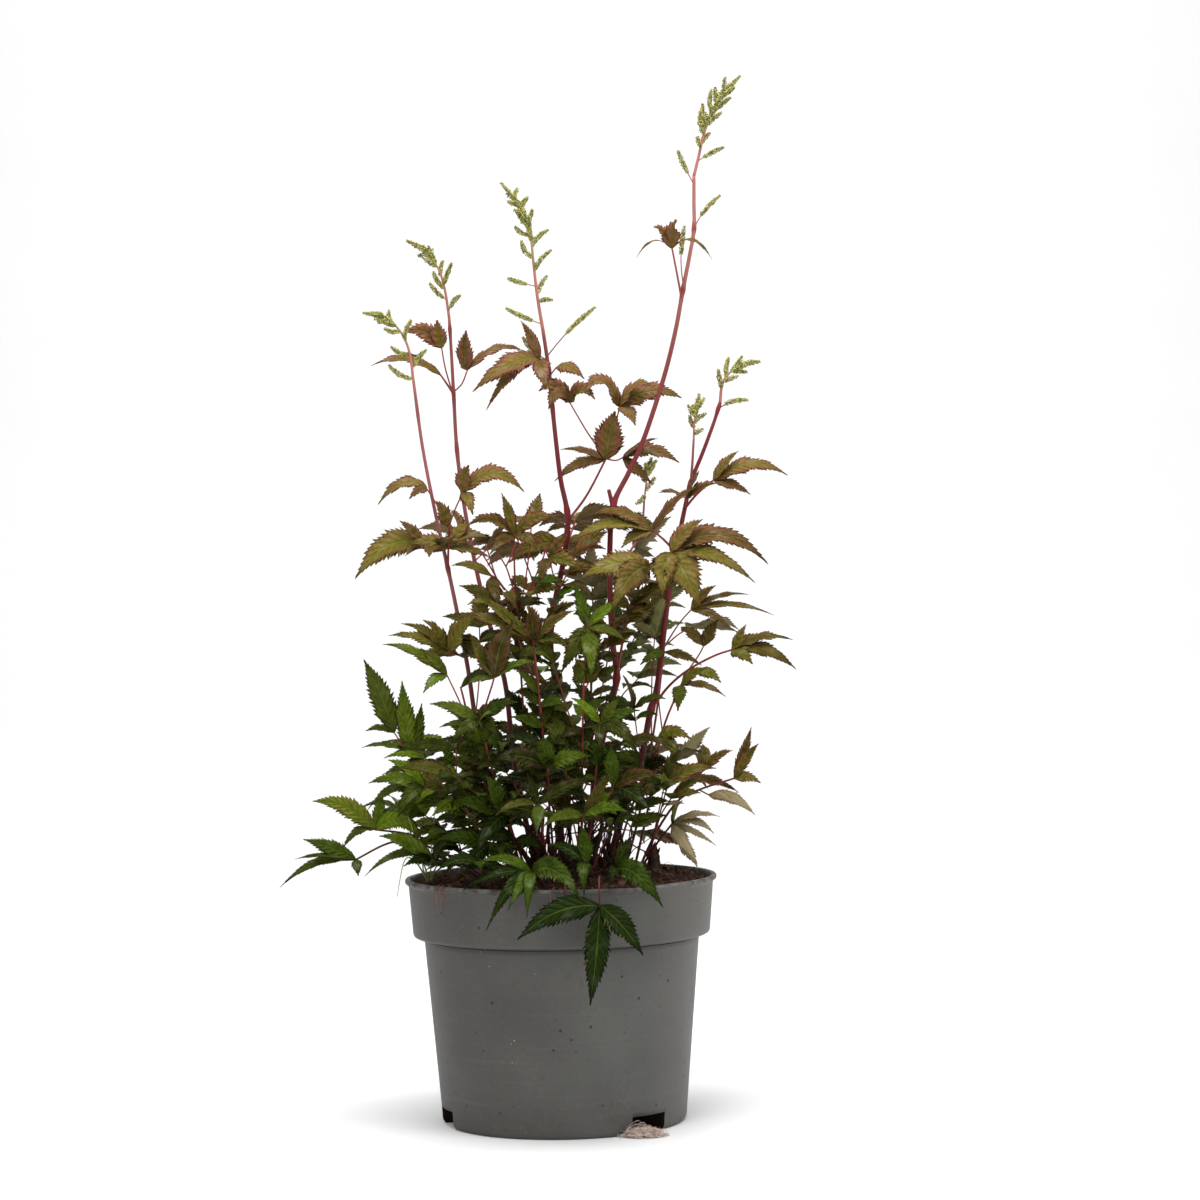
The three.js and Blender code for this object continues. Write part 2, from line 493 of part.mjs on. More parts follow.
      tips: [[-74, -68, 190, 15, 60], [-42, -66, 202, 15, 60]] },
    { line: [[-66, -40, 200], [-74, -30, 214], [-80, -26, 222]], fan: 36 },
  ] },
  { name: "basal_leaf_12", on: "crown", sprays: [
    { line: [[-30, 2, 133], [-60, 2, 162], [-90, 0, 174], [-113, -2, 178]],
      tips: [[-149, -8, 200, 19, 65], [-108, -4, 200, 11, 65], [-132, -12, 167, 11, 40, 0.3],
        [-82, -18, 170, 16, 60, 0.4]] },
    { line: [[-60, 2, 162], [-70, -6, 177], [-82, -10, 187]],
      tips: [[-105, -20, 190, 15, 50], [-82, -30, 204, 14, 60]] },
    { line: [[-60, 2, 162], [-62, -16, 172], [-66, -26, 176]], fan: 34 },
  ] },
  { name: "basal_leaf_13", on: "crown", sprays: [
    { line: [[-28, 10, 133], [-62, 18, 156], [-90, 20, 168], [-106, 18, 168], [-127, 16, 158]],
      tips: [[-158, 10, 172, 14, 60, 0.1], [-163, 5, 160, 8, 35, 0.1], [-173, 9, 142, 10, 45, 0.2],
        [-124, 6, 149, 9, 45]] },
    { line: [[-90, 20, 168], [-96, 30, 180], [-100, 38, 188]], fan: 34 },
  ] },
  { name: "basal_leaf_14", on: "crown", sprays: [
    { line: [[-30, -14, 133], [-56, -28, 155], [-77, -38, 163]],
      tips: [[-116, -46, 153, 9, 35, 0.25], [-107, -44, 177, 14, 65], [-92, -58, 160, 11, 50],
        [-64, -60, 173, 15, 60]] },
  ] },
  // from the crown: front
  { name: "basal_leaf_15", on: "crown", sprays: [
    { line: [[-12, -26, 133], [-24, -50, 168], [-30, -60, 190]],
      tips: [[-49, -79, 166, 16, 60, 0.35], [-64, -72, 198, 15, 55], [-20, -84, 206, 15, 60],
        [-42, -82, 214, 15, 65]] },
    { line: [[-24, -50, 168], [-42, -58, 172]],
      tips: [[-72, -74, 176, 15, 55], [-59, -84, 154, 14, 60]] },
    { line: [[-24, -50, 168], [-8, -54, 176], [0, -56, 182]], fan: 36 },
  ] },
  { name: "basal_leaf_16", on: "crown", sprays: [
    { line: [[-2, -28, 133], [-8, -58, 168], [-11, -78, 197]],
      tips: [[-17, -86, 215, 10, 60], [22, -92, 211, 11, 55], [-36, -92, 191, 12, 50],
        [-12, -98, 181, 12, 60]] },
    { line: [[-8, -58, 168], [-5, -62, 200], [-6, -66, 218]],
      tips: [[-38, -78, 222, 16, 60], [20, -78, 224, 15, 60], [-8, -88, 236, 15, 70]] },
    { line: [[-8, -58, 168], [-22, -60, 200], [-30, -58, 214]], fan: 36 },
  ] },
  { name: "basal_leaf_17", on: "crown", sprays: [
    { line: [[8, -28, 133], [12, -60, 168], [15, -76, 190]],
      tips: [[33, -87, 215, 9, 60], [41, -94, 192, 14, 50], [-9, -95, 184, 11, 50]] },
    { line: [[12, -60, 168], [26, -64, 190], [33, -66, 206]],
      tips: [[60, -76, 212, 15, 55], [32, -86, 230, 12, 65], [54, -86, 192, 15, 60]] },
    { line: [[12, -60, 168], [6, -56, 200], [4, -54, 222]], fan: 38 },
  ] },
  { name: "basal_leaf_18", on: "crown", sprays: [
    { line: [[-6, -28, 133], [-12, -56, 151], [-15.5, -86, 157.5]],
      tips: [[-46, -88, 164, 10, 50], [13, -107, 143, 18, 65, 0.4], [-29, -109, 138, 12, 65, 0.3],
        [-42, -108, 126, 11, 65, 0.4], [-18, -112, 133, 10, 65, 0.4], [-55, -100, 149, 10, 55, 0.2]] },
    { line: [[-12, -56, 151], [-34, -70, 159], [-46, -79, 163]], fan: 30 },
  ] },
  { name: "basal_leaf_19", on: "crown", sprays: [
    { line: [[18, -26, 133], [17, -58, 152], [16.5, -84, 162]],
      tips: [[15, -108, 145, 12, 65, 0.4], [14, -96, 185, 12, 70], [-6, -96, 174, 11, 55]] },
    { line: [[17, -58, 152], [27, -72, 157], [34, -84, 159]],
      tips: [[60, -109, 138, 19, 65, 0.35], [30, -104, 153, 9, 60], [43, -94, 178, 11, 65]] },
    { line: [[17, -58, 152], [40, -62, 164], [50, -66, 170]], fan: 34 },
  ] },
  { name: "basal_leaf_20", on: "crown", sprays: [
    { line: [[25, -24, 133], [24, -60, 148], [23.5, -92, 155], [23.5, -104, 150], [23.5, -107, 139]],
      tips: [[-24, -111, 121, 20, 80, 0.1], [17, -111, 83, 19, 85, 0], [48, -111, 111, 18, 80, 0.15]] },
  ] },
  // from the crown: right side
  { name: "basal_leaf_21", on: "crown", sprays: [
    { line: [[40, 4, 133], [57, 2, 170], [72, -2, 192], [85, -6, 199], [107, -10, 206]],
      tips: [[117, -14, 237, 9, 60], [121, -20, 227, 9, 55], [122, -16, 203, 10, 60]] },
    { line: [[85, -6, 199], [91, -13, 196]], tips: [[118, -24, 184, 12, 50], [104, -30, 192, 10, 50]] },
    { line: [[72, -2, 192], [81, -10, 205], [89, -14, 212]],
      tips: [[105, -22, 223, 11, 50], [80, -32, 224, 12, 55], [88, 6, 226, 11, 30]] },
    { line: [[57, 2, 170], [66, 8, 200], [72, 10, 216]], fan: 36 },
  ] },
  { name: "basal_leaf_22", on: "crown", sprays: [
    { line: [[38, -14, 133], [54, -25, 162], [68, -31, 181]],
      tips: [[98, -44, 183, 11, 45], [97, -46, 173, 10, 45], [101, -34, 169, 8, 40],
        [85, -54, 155, 14, 60], [74, -54, 196, 12, 55]] },
    { line: [[54, -25, 162], [59, -40, 186], [63, -46, 204]],
      tips: [[94, -52, 214, 14, 50], [72, -60, 226, 14, 60], [62, -70, 208, 15, 60],
        [42, -56, 214, 12, 50]] },
    { line: [[54, -25, 162], [42, -44, 172], [38, -54, 178]], fan: 34 },
  ] },
  // from the crown: back
  { name: "basal_leaf_23", on: "crown", sprays: [
    { line: [[-22, 12, 133], [-44, 40, 185], [-56, 56, 212]], fan: 40 },
    { line: [[-44, 40, 185], [-62, 44, 198], [-76, 46, 206]], fan: 38 },
    { line: [[-44, 40, 185], [-42, 60, 192], [-44, 76, 194]], fan: 38 },
  ] },
  { name: "basal_leaf_24", on: "crown", sprays: [
    { line: [[-8, 20, 133], [-16, 48, 190], [-21, 64, 232]], fan: 42 },
    { line: [[-16, 48, 190], [-33, 57, 226], [-45, 63, 248]], fan: 38 },
    { line: [[-16, 48, 190], [-8, 72, 206], [-6, 86, 210]], fan: 38 },
  ] },
  { name: "basal_leaf_25", on: "crown", sprays: [
    { line: [[6, 24, 133], [14, 60, 170], [20, 84, 178]], fan: 42 },
    { line: [[14, 60, 170], [-4, 76, 166], [-20, 86, 160]], fan: 38 },
    { line: [[14, 60, 170], [38, 72, 170], [52, 80, 166]], fan: 38 },
  ] },
  { name: "basal_leaf_26", on: "crown", sprays: [
    { line: [[26, 20, 133], [46, 44, 190], [58, 58, 226]], fan: 40 },
    { line: [[46, 44, 190], [66, 44, 206], [80, 44, 212]], fan: 38 },
    { line: [[46, 44, 190], [42, 66, 210], [38, 78, 220]], fan: 38 },
  ] },
  { name: "basal_leaf_27", on: "crown", sprays: [
    { line: [[14, 16, 133], [20, 34, 210], [20, 44, 280]], fan: 40 },
    { line: [[20, 34, 210], [2, 46, 250], [-12, 56, 270]], fan: 38 },
    { line: [[20, 34, 210], [36, 44, 250], [50, 54, 266]], fan: 38 },
  ] },
];

// The leaflets at the end of a spray, as { tip, width, lean, arch }.
function leafletsOf(spray) {
  if (spray.tips) {
    return spray.tips.map(([x, y, z, width, lean, arch = 0.18]) => {
      return { tip: vector([x, y, z]), width, lean, arch };
    });
  }
  const [before, hub] = spray.line.slice(-2).map(vector);
  const ahead = hub.clone().sub(before).setZ((hub.z - before.z) * 0.5).normalize();
  const up = new THREE.Vector3(0, 0, 1).addScaledVector(ahead, -ahead.z).normalize();
  return [-1, 0, 1].map((turn) => {
    const length = spray.fan * (turn === 0 ? 1 : FAN.side);
    const heading = ahead.clone().applyAxisAngle(up, THREE.MathUtils.degToRad(FAN.spread * turn));
    const tip = hub.clone().addScaledVector(heading, length);
    tip.z -= length * FAN.droop;
    return { tip, width: length * FAN.slender, lean: FAN.lean * (hub.y < 0 ? 1 : -1), arch: FAN.arch };
  });
}

// A leaflet: a thin blade with a keeled, tapering outline, arched from its hub to its tip.
function bladeSolid(start, { tip, width, lean, arch }, extra) {
  const middle = start.clone().lerp(tip, 0.5);
  middle.z += 2 * arch * Math.hypot(tip.x - start.x, tip.y - start.y);
  const spine = new THREE.QuadraticBezierCurve3(start, middle, tip);
  const widest = spine.getPoint(BLADE.widest);
  const beyond = (end) => end.clone().addScaledVector(end.clone().sub(widest).normalize(), extra);
  const [from, to] = [beyond(start), beyond(tip)];
  const turn = THREE.MathUtils.degToRad(lean);
  const face = new THREE.Vector3(0, -Math.sin(turn), Math.cos(turn));
  const corners = [
    { at: 0, centre: from, side: BLADE.stalk, thick: BLADE.stalk },
    { at: BLADE.widest, centre: widest, side: width / 2, thick: BLADE.thickness / 2 },
  ].flatMap(({ at, centre, side, thick }) => {
    const along = spine.getTangent(at);
    const across = new THREE.Vector3().crossVectors(along, face).normalize();
    const out = new THREE.Vector3().crossVectors(across, along).normalize();
    const reach = side + BLADE.edge * extra;
    return [
      [reach, reach * BLADE.keel],
      [0, thick + extra],
      [-reach, reach * BLADE.keel],
      [0, -thick - extra],
    ].map(([a, b]) => centre.clone().addScaledVector(across, a).addScaledVector(out, b));
  });
  corners.push(to, from);
  const last = corners.length - 2;
  const faces = [];
  for (let k = 0; k < 4; k++) {
    const next = (k + 1) % 4;
    faces.push(last + 1, k, next);
    for (let ring = 0; ring + 4 < last; ring += 4) {
      faces.push(ring + k, ring + 4 + next, ring + next, ring + k, ring + 4 + k, ring + 4 + next);
    }
    faces.push(last - 4 + k, last, last - 4 + next);
  }
  const geometry = new THREE.BufferGeometry().setFromPoints(corners);
  geometry.setIndex(faces);
  return solid(geometry);
}

const petioles = (leaf, extra) =>
  joined(
    leaf.sprays.map(({ line }, i) => {
      const { root, tip } = i === 0 ? PETIOLE : SPRAY;
      const sides = i === 0 ? 4 : 3;
      return stalk(curveThrough(line), taper(root + extra, tip + extra), sides, line.length - 1);
    }),
  );

// The leaflets start one behind the other inside the end of their spray, around its axis.
const blades = (leaf, extra) =>
  leaf.sprays.flatMap((spray) => {
    const [before, hub] = spray.line.slice(-2).map(vector);
    const ahead = hub.clone().sub(before).normalize();
    return leafletsOf(spray).map((leaflet, i) => {
      const around = new THREE.Vector3(Math.cos(GOLDEN_ANGLE * i), Math.sin(GOLDEN_ANGLE * i), 0.5);
      const start = hub.clone().addScaledVector(ahead, -BLADE.seat * (i + 0.5));
      start.addScaledVector(around, BLADE.offset);
      return bladeSolid(start, leaflet, extra);
    });
  });

// ---------------------------------------------------------------- flower spikes
// A cluster of buds: a thin stalk for the bare share of its length, then a spindle of buds.
function budCluster(root, tip, bare) {
  const radiusAt = (share) => {
    const along = Math.max(0, (share - bare) / (1 - bare));
    return BUD.stalk + (BUD.radius - BUD.stalk) * Math.sin(Math.PI * Math.min(along + 0.12, 0.94));
  };
  return stalk(new THREE.LineCurve3(root, tip), radiusAt, BUD.sides, BUD.steps);
}

// The point of a line at a given height.
function atHeight(line, height) {
  const upper = line.findIndex((point) => point[2] >= height);
  const [a, b] = [vector(line[upper - 1]), vector(line[upper])];
  return a.lerp(b, (height - a.z) / (b.z - a.z));
}

const clusters = (line, buds) =>
  buds.map(([height, x, y, z, bare]) => budCluster(atHeight(line, height), vector([x, y, z]), bare));

const stalkAlone = ({ line, radii }, extra) =>
  stalk(curveThrough(line), taper(radii[0] + extra, radii[1] + extra), 5, line.length - 1);

const stalkSolid = (spec) => joined([stalkAlone(spec, 0), ...clusters(spec.line, spec.stemBuds)]);

// The spike's axis starts one gap above the end of its stalk.
function spikeSolid({ line, top, radii, buds }) {
  const end = vector(line.at(-1));
  const ahead = end.clone().sub(vector(line.at(-2))).normalize();
  const axis = [end.addScaledVector(ahead, GAP).toArray(), ...top.slice(1)];
  const rachis = stalk(curveThrough(axis), taper(radii[1], RACHIS_TIP), 4, axis.length - 1);
  return joined([rachis, ...clusters(axis, buds)]);
}

// ---------------------------------------------------------------- grass and fibre
const GRASS_ROOT = [-79, -9, SOIL_TOP + 0.5];
const GRASS_BLADES = [
  [[-78.3, -8.2, SOIL_TOP - 6]],
  [[-78, -12, 165], [-75, -13, 193]],
  [[-87, -12, 158], [-94, -14, 160], [-99, -16, 138]],
  [[-83, -14, 157], [-73, -20, 168]],
];

const grassSolid = () =>
  joined(
    GRASS_BLADES.map((points) =>
      stalk(curveThrough([GRASS_ROOT, ...points]), taper(GRASS_RADIUS, GRASS_RADIUS / 2), 3, 4),
    ),
  );

function tuftSolid() {
  const [across, outward, height] = TUFT.radii;
  const side = ring([[0, 0], [1, 0], [0.95, 0.35], [0.6, 0.8], [0, 1]]);
  const lump = new THREE.LatheGeometry(side, 12).rotateX(Math.PI / 2).scale(outward, across, height);
  const turn = THREE.MathUtils.degToRad(NOTCH.first - 90);
  return solid(lump.translate(TUFT.distance, 0, 0).rotateZ(turn));
}

// ---------------------------------------------------------------- assembly
const soilAbove = soilSolid(GAP);
const crownAbove = crownSolid(GAP);
const grownStalks = Object.fromEntries(STALKS.map((spec) => [spec.name, stalkAlone(spec, GAP)]));
const footingOf = (spec) => (spec.on === "crown" ? [crownAbove, soilAbove] : [grownStalks[spec.on]]);

const plant = new THREE.Group();
plant.add(meshOf("nursery_pot", potSolid(), POT_PLASTIC));
plant.add(meshOf("root_ball", soilSolid(0).subtract(crownAbove), SOIL));
plant.add(meshOf("crown", crownSolid(0), WOOD));
plant.add(meshOf("dead_stub", cutBy(stubSolid(), [soilAbove]), WOOD));
plant.add(meshOf("grass_blades", cutBy(grassSolid(), [soilAbove]), GRASS));
plant.add(meshOf("fibre_tuft", tuftSolid(), FIBRE));

const placed = [];
for (const spec of STALKS) {
  const shoot = largest(cutBy(stalkSolid(spec), footingOf(spec)));
  const spike = spikeSolid(spec);
  placed.push(shoot, spike);
  plant.add(meshOf(spec.name, shoot, STALK));
  plant.add(meshOf(spec.spike, spike, BUDS));
}

// A leaf keeps its stalks whole and gives way, blade by blade, to the stalks of its neighbours
// and to the blades of the leaves before it.
const grownPetioles = LEAVES.map((leaf) => petioles(leaf, GAP));
const earlierBlades = [];
LEAVES.forEach((leaf, i) => {
  const others = grownPetioles.filter((_, j) => j !== i);
  const obstacles = [...Object.values(grownStalks), ...placed, ...others, ...earlierBlades];
  const stalks = cutBy(petioles(leaf, 0), [...footingOf(leaf), ...grownPetioles.slice(0, i)]);
  const free = blades(leaf, 0).map((blade) => cutBy(blade, [...footingOf(leaf), ...obstacles]));
  const material = leaf.on === "crown" ? BASAL_LEAF : STEM_LEAF;
  plant.add(meshOf(leaf.name, largest(joined([stalks, ...free])), material));
  earlierBlades.push(...blades(leaf, GAP));
});

export default plant;
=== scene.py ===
import bpy
import numpy as np
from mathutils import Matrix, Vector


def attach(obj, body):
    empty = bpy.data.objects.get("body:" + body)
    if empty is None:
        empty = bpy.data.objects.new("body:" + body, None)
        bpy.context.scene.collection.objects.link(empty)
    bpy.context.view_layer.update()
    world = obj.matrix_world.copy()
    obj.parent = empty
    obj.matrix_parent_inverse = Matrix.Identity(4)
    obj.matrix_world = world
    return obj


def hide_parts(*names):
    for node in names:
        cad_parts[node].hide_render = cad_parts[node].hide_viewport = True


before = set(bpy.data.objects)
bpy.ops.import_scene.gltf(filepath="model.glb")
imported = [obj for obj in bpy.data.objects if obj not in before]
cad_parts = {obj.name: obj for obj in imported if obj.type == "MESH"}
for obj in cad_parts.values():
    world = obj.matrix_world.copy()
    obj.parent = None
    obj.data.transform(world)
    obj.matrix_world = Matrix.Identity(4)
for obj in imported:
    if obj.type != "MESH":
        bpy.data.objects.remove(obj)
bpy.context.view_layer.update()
MM = 0.001

# ---------------------------------------------------------------- nursery pot
# A 3-litre nursery pot of grey polypropylene, injection moulded in one piece: a tapering body, a
# wide band under a thin rolled lip, a ring with six drain holes under the floor, and three notches
# in the foot that let the water out.
POT_HEIGHT = 148
POT_LIP = 95
POT_WALL = 1.6
POT_AROUND = 180
FLOOR_TOP = 5.1
CHANNEL_TOP = 3.5
NOTCH_TURNS = np.radians([-47, 75, 197])
NOTCH_WIDTH = 26
NOTCH_HEIGHT = 10.5
NOTCH_INNER = 60
DRAIN_RING = 57
DRAINS, DRAINS_TURNED = 6, -0.26
DENT_TURN, DENT_SPREAD = np.radians(-62), 0.22
DENT_FOOT, DENT_DEPTH, DENT_DROP = 118, 2.4, 0.9


class Signal:
    """One value of a shader: its arithmetic adds Math nodes, so a formula reads as in Python."""

    def __init__(self, finish, socket):
        self.finish = finish
        self.socket = socket

    def math(self, operation, *values):
        return self.finish.node("ShaderNodeMath", {"operation": operation}, dict(enumerate(values)))

    def __add__(self, other):
        return self.math("ADD", self, other)

    def __sub__(self, other):
        return self.math("SUBTRACT", self, other)

    def __rsub__(self, other):
        return self.math("SUBTRACT", other, self)

    def __mul__(self, other):
        return self.math("MULTIPLY", self, other)

    def __abs__(self):
        return self.math("ABSOLUTE", self)

    __radd__ = __add__
    __rmul__ = __mul__

    def rounded(self):
        return self.math("ROUND", self)

    def at_least(self, other):
        """The greater of the two values."""
        return self.math("MAXIMUM", self, other)

    def clipped(self):
        """The value, kept from 0 to 1."""
        return self.math("MINIMUM", self, 1).at_least(0)

    def between(self, low, high):
        """0 at low, 1 at high, with an eased rise between them; low may be the greater."""
        ends = {0: self, 1: low, 2: high, 3: 0, 4: 1}
        return self.finish.node("ShaderNodeMapRange", {"interpolation_type": "SMOOTHSTEP"}, ends)


class Finish:
    """A material. Its shader nodes are all added by node()."""

    def __init__(self, name):
        self.material = bpy.data.materials.new(name)
        self.material.use_nodes = True
        self.tree = self.material.node_tree
        self.shader = self.tree.nodes["Principled BSDF"]
        self.place = self.node("ShaderNodeTexCoord", output="Object")

    def node(self, kind, settings=None, values=None, output=0):
        """Adds a node: first its settings, then the values or links of its sockets."""
        node = self.tree.nodes.new(kind)
        for key, value in (settings or {}).items():
            setattr(node, key, value)
        for key, value in (values or {}).items():
            self.connect(node.inputs[key], value)
        return Signal(self, node.outputs[output])

    def connect(self, socket, value):
        if isinstance(value, Signal):
            self.tree.links.new(value.socket, socket)
        else:
            socket.default_value = value

    def noise(self, size, detail=3, roughness=0.55, place=None, offset=0):
        """Cloudy noise from 0 to 1 whose lumps are about size millimetres across."""
        values = {"W": offset, "Scale": 1 / (size * MM), "Detail": detail, "Roughness": roughness}
        values["Vector"] = place or self.place
        return self.node("ShaderNodeTexNoise", {"noise_dimensions": "4D"}, values)

    def stretched(self, x, y, z):
        """The object's own coordinates, stretched along each axis."""
        return self.node("ShaderNodeMapping", values={"Vector": self.place, "Scale": (x, y, z)})

    def along(self, axis):
        """One of the object's own coordinates, in metres."""
        return self.node("ShaderNodeSeparateXYZ", values={0: self.place}, output=axis)

    def attribute(self, name):
        """A value that the points of the mesh carry."""
        return self.node("ShaderNodeAttribute", {"attribute_name": name}, output="Fac")

    def mixed(self, factor, first, second):
        """The colour first where factor is 0 and second where it is 1."""
        first, second = [c if isinstance(c, Signal) else (*c, 1) for c in (first, second)]
        values = {0: factor, 6: first, 7: second}
        return self.node("ShaderNodeMix", {"data_type": "RGBA"}, values, 2)

    def layered(self, colour, *layers):
        """The colour under layers of (factor, colour), each laid over those before it."""
        for factor, over in layers:
            colour = self.mixed(factor, colour, over)
        return colour

    def spots(self, density):
        """Distance to the nearest of many scattered points, closer for a greater density."""
        values = {"Vector": self.place, "Scale": density}
        return self.node("ShaderNodeTexVoronoi", values=values, output="Distance")

    def bump(self, height, depth):
        """The normal over a height from 0 to 1 that stands for depth millimetres."""
        return self.node("ShaderNodeBump", values={"Height": height, "Distance": depth * MM})

    def surface(self, **values):
        """Sets what the light meets; in the names of sockets a _ stands for a blank."""
        for name, value in values.items():
            self.connect(self.shader.inputs[name.replace("_", " ")], value)


VALUES = 5  # values that each point of a shell carries for the materials


class Shells:
    """The closed shells of one piece. A shell is a grid of rings; a point closes each end."""

    def __init__(self):
        self.points, self.faces, self.finishes, self.values = [], [], [], []
        self.count = 0

    def add(self, grid, finish=0, values=None):
        """Adds one grid (rings, around, 3) or many at once, with a value or more at each point."""
        rings, around = grid.shape[-3:-1]
        grid = grid.reshape(-1, rings, around, 3)
        values = np.zeros(VALUES) if values is None else np.asarray(values, float)
        values = np.broadcast_to(values, grid.shape[:3] + values.shape[-1:])
        self.points.append(self.closed(grid))
        self.values.append(self.closed(values))
        i, j = np.meshgrid(np.arange(rings - 1) * around, np.arange(around), indexing="ij")
        after = (j + 1) % around
        quads = np.stack([i + j, i + after, i + around + after, i + around + j], -1).reshape(-1, 4)
        j, last = np.arange(around), (rings - 1) * around
        foot = np.stack([np.full(around, last + around), (j + 1) % around, j], -1)
        head = np.stack([np.full(around, last + around + 1), last + j, last + (j + 1) % around], -1)
        starts = self.count + np.arange(len(grid)) * (rings * around + 2)
        ends = np.vstack([foot, head])
        for part, own in ((quads, finish), (ends, np.ravel(finish)[0])):
            self.faces += (part[None] + starts[:, None, None]).reshape(-1, part.shape[1]).tolist()
            own = np.broadcast_to(own, (rings - 1, around) if part is quads else len(ends))
            self.finishes.append(np.tile(own.ravel(), len(grid)))
        self.count += len(grid) * (rings * around + 2)

    @staticmethod
    def closed(grid):
        """The grid's points as a list, with the middle of the first and last ring after them."""
        shells, _, _, size = grid.shape
        flat = grid.reshape(shells, -1, size)
        ends = np.stack([grid[:, 0].mean(1), grid[:, -1].mean(1)], 1)
        return np.concatenate([flat, ends], 1).reshape(-1, size)

    def piece(self, name, finishes, slot, *nodes, attributes=()):
        """Makes the shells one object that stands for the given solids; attributes name the
        values of its points that the finishes use, in order."""
        mesh = bpy.data.meshes.new(name)
        mesh.from_pydata((np.concatenate(self.points) * MM).tolist(), [], self.faces)
        for finish in finishes:
            mesh.materials.append(finish)
        mesh.polygons.foreach_set("material_index", np.concatenate(self.finishes).astype(np.int32))
        mesh.shade_smooth()
        for k, key in enumerate(attributes):
            values = np.ascontiguousarray(np.concatenate(self.values)[:, k], np.float32)
            mesh.attributes.new(key, "FLOAT", "POINT").data.foreach_set("value", values)
        thing = placed(name, mesh)
        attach(thing, "root")
        if nodes:
            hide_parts(*nodes)


def placed(name, data):
    """An object of the scene that holds the given mesh, lamp or camera."""
    thing = bpy.data.objects.new(name, data)
    bpy.context.scene.collection.objects.link(thing)
    return thing


def eased(corners, steps=6, longest=5):
    """An outline whose corners (radius, height, ease) become parabolas that begin one ease
    before the corner and end one ease after it, cut into stretches of at most longest."""
    corners = np.array(corners, float)
    point, ease = corners[:, :2], corners[:, 2:]
    back, ahead = point - np.roll(point, 1, 0), np.roll(point, -1, 0) - point
    back[0], ahead[-1] = ahead[0], back[-1]
    back /= np.linalg.norm(back, axis=1, keepdims=True)
    ahead /= np.linalg.norm(ahead, axis=1, keepdims=True)
    t = np.linspace(0, 1, steps)[None, :, None]
    arcs = (1 - t) ** 2 * (point - back * ease)[:, None]
    arcs = arcs + 2 * t * (1 - t) * point[:, None] + t**2 * (point + ahead * ease)[:, None]
    line = arcs.reshape(-1, 2)
    gaps = np.linalg.norm(np.diff(line, axis=0), axis=1)
    line = line[np.append(True, gaps > 1e-6)]
    reach = np.append(0, np.cumsum(np.linalg.norm(np.diff(line, axis=0), axis=1)))
    marks = np.unique(np.round(np.append(reach, np.arange(0, reach[-1], longest)), 4))
    marks = marks[np.append(True, np.diff(marks) > 0.02)]
    return np.stack([np.interp(marks, reach, line[:, k]) for k in (0, 1)], 1)


def about(turns, wide, deep, height):
    """Points at the given turns round the vertical axis, on ellipses of half axes wide and deep."""
    return np.stack([wide * np.cos(turns), deep * np.sin(turns), height + 0 * turns], -1)


def full_turn(count):
    """Turns at equal steps round the whole circle, in radians."""
    return np.linspace(0, 2 * np.pi, count, endpoint=False)


def lathe(outline, turns):
    """Rings of an outline (radius, height) carried round the vertical axis by the given turns."""
    radius, height = outline[:, :1], outline[:, 1:]
    return about(turns, radius, radius, height)


def turned_from(turns, middle):
    """How far each turn lies from the middle one, from -pi to pi."""
    return (turns - middle + np.pi) % (2 * np.pi) - np.pi


pot_outline = eased(
    [
        (0.5, 0, 0), (50, 0, 0.6), (53, CHANNEL_TOP, 0.6), (61, CHANNEL_TOP, 0.6), (63, 0, 0.6),
        (72.6, 0, 0.9),
        (74.3, 2.2, 1.2), (74.85, NOTCH_HEIGHT - 0.2, 0), (74.9, NOTCH_HEIGHT + 0.2, 0),
        (83.7, 112, 1.2), (90.2, 113, 2), (92.8, 144.6, 1.2), (94.6, 145.2, 0.5),
        (POT_LIP, 146.6, 0.6), (94.4, POT_HEIGHT, 0.5), (91.8, POT_HEIGHT, 0.9),
        (91.1, 144, 0.6), (88.7, 113.5, 1.5), (82.1, 111, 1.5), (73.2, 8, 2),
        (66.8, FLOOR_TOP, 1), (52, FLOOR_TOP, 0.5), (49, POT_WALL, 0.5), (0.5, POT_WALL, 0),
    ]
)
notch_half = NOTCH_WIDTH / 2 / 75  # the wall's radius there is 75 mm
edges = np.concatenate([NOTCH_TURNS + s * notch_half + e for s in (-1, 1) for e in (-0.004, 0.004)])
pot_turns = np.unique(np.append(full_turn(POT_AROUND), edges % (2 * np.pi)))
# inside a notch the wall below the notch's height steps in to the notch's inner radius
off_middle = np.abs(turned_from(pot_turns[:, None], NOTCH_TURNS)).min(1)
inner_side = np.arange(len(pot_outline)) > pot_outline[:, 1].argmax()
ceiling = NOTCH_HEIGHT + np.where(inner_side, POT_WALL, 0)
limit = NOTCH_INNER - np.where(inner_side, POT_WALL, 0)
low = (pot_outline[:, 1] < ceiling) & (pot_outline[:, 0] > limit)
notched = low[:, None] & (off_middle < notch_half)[None]
radius = np.where(notched, limit[:, None], pot_outline[:, :1])
floor = np.where(inner_side, FLOOR_TOP, CHANNEL_TOP)[:, None]
height = np.where(notched, np.maximum(pot_outline[:, 1:], floor), pot_outline[:, 1:])
# the lip has been knocked in a little at the front right
dent = np.exp(-((turned_from(pot_turns, DENT_TURN) / DENT_SPREAD) ** 2))
dent = dent * ((height - DENT_FOOT) / (POT_HEIGHT - DENT_FOOT)).clip(0, 1) ** 2
radius, height = radius - DENT_DEPTH * dent, height - DENT_DROP * dent
pot_grid = about(pot_turns, radius, radius, height)

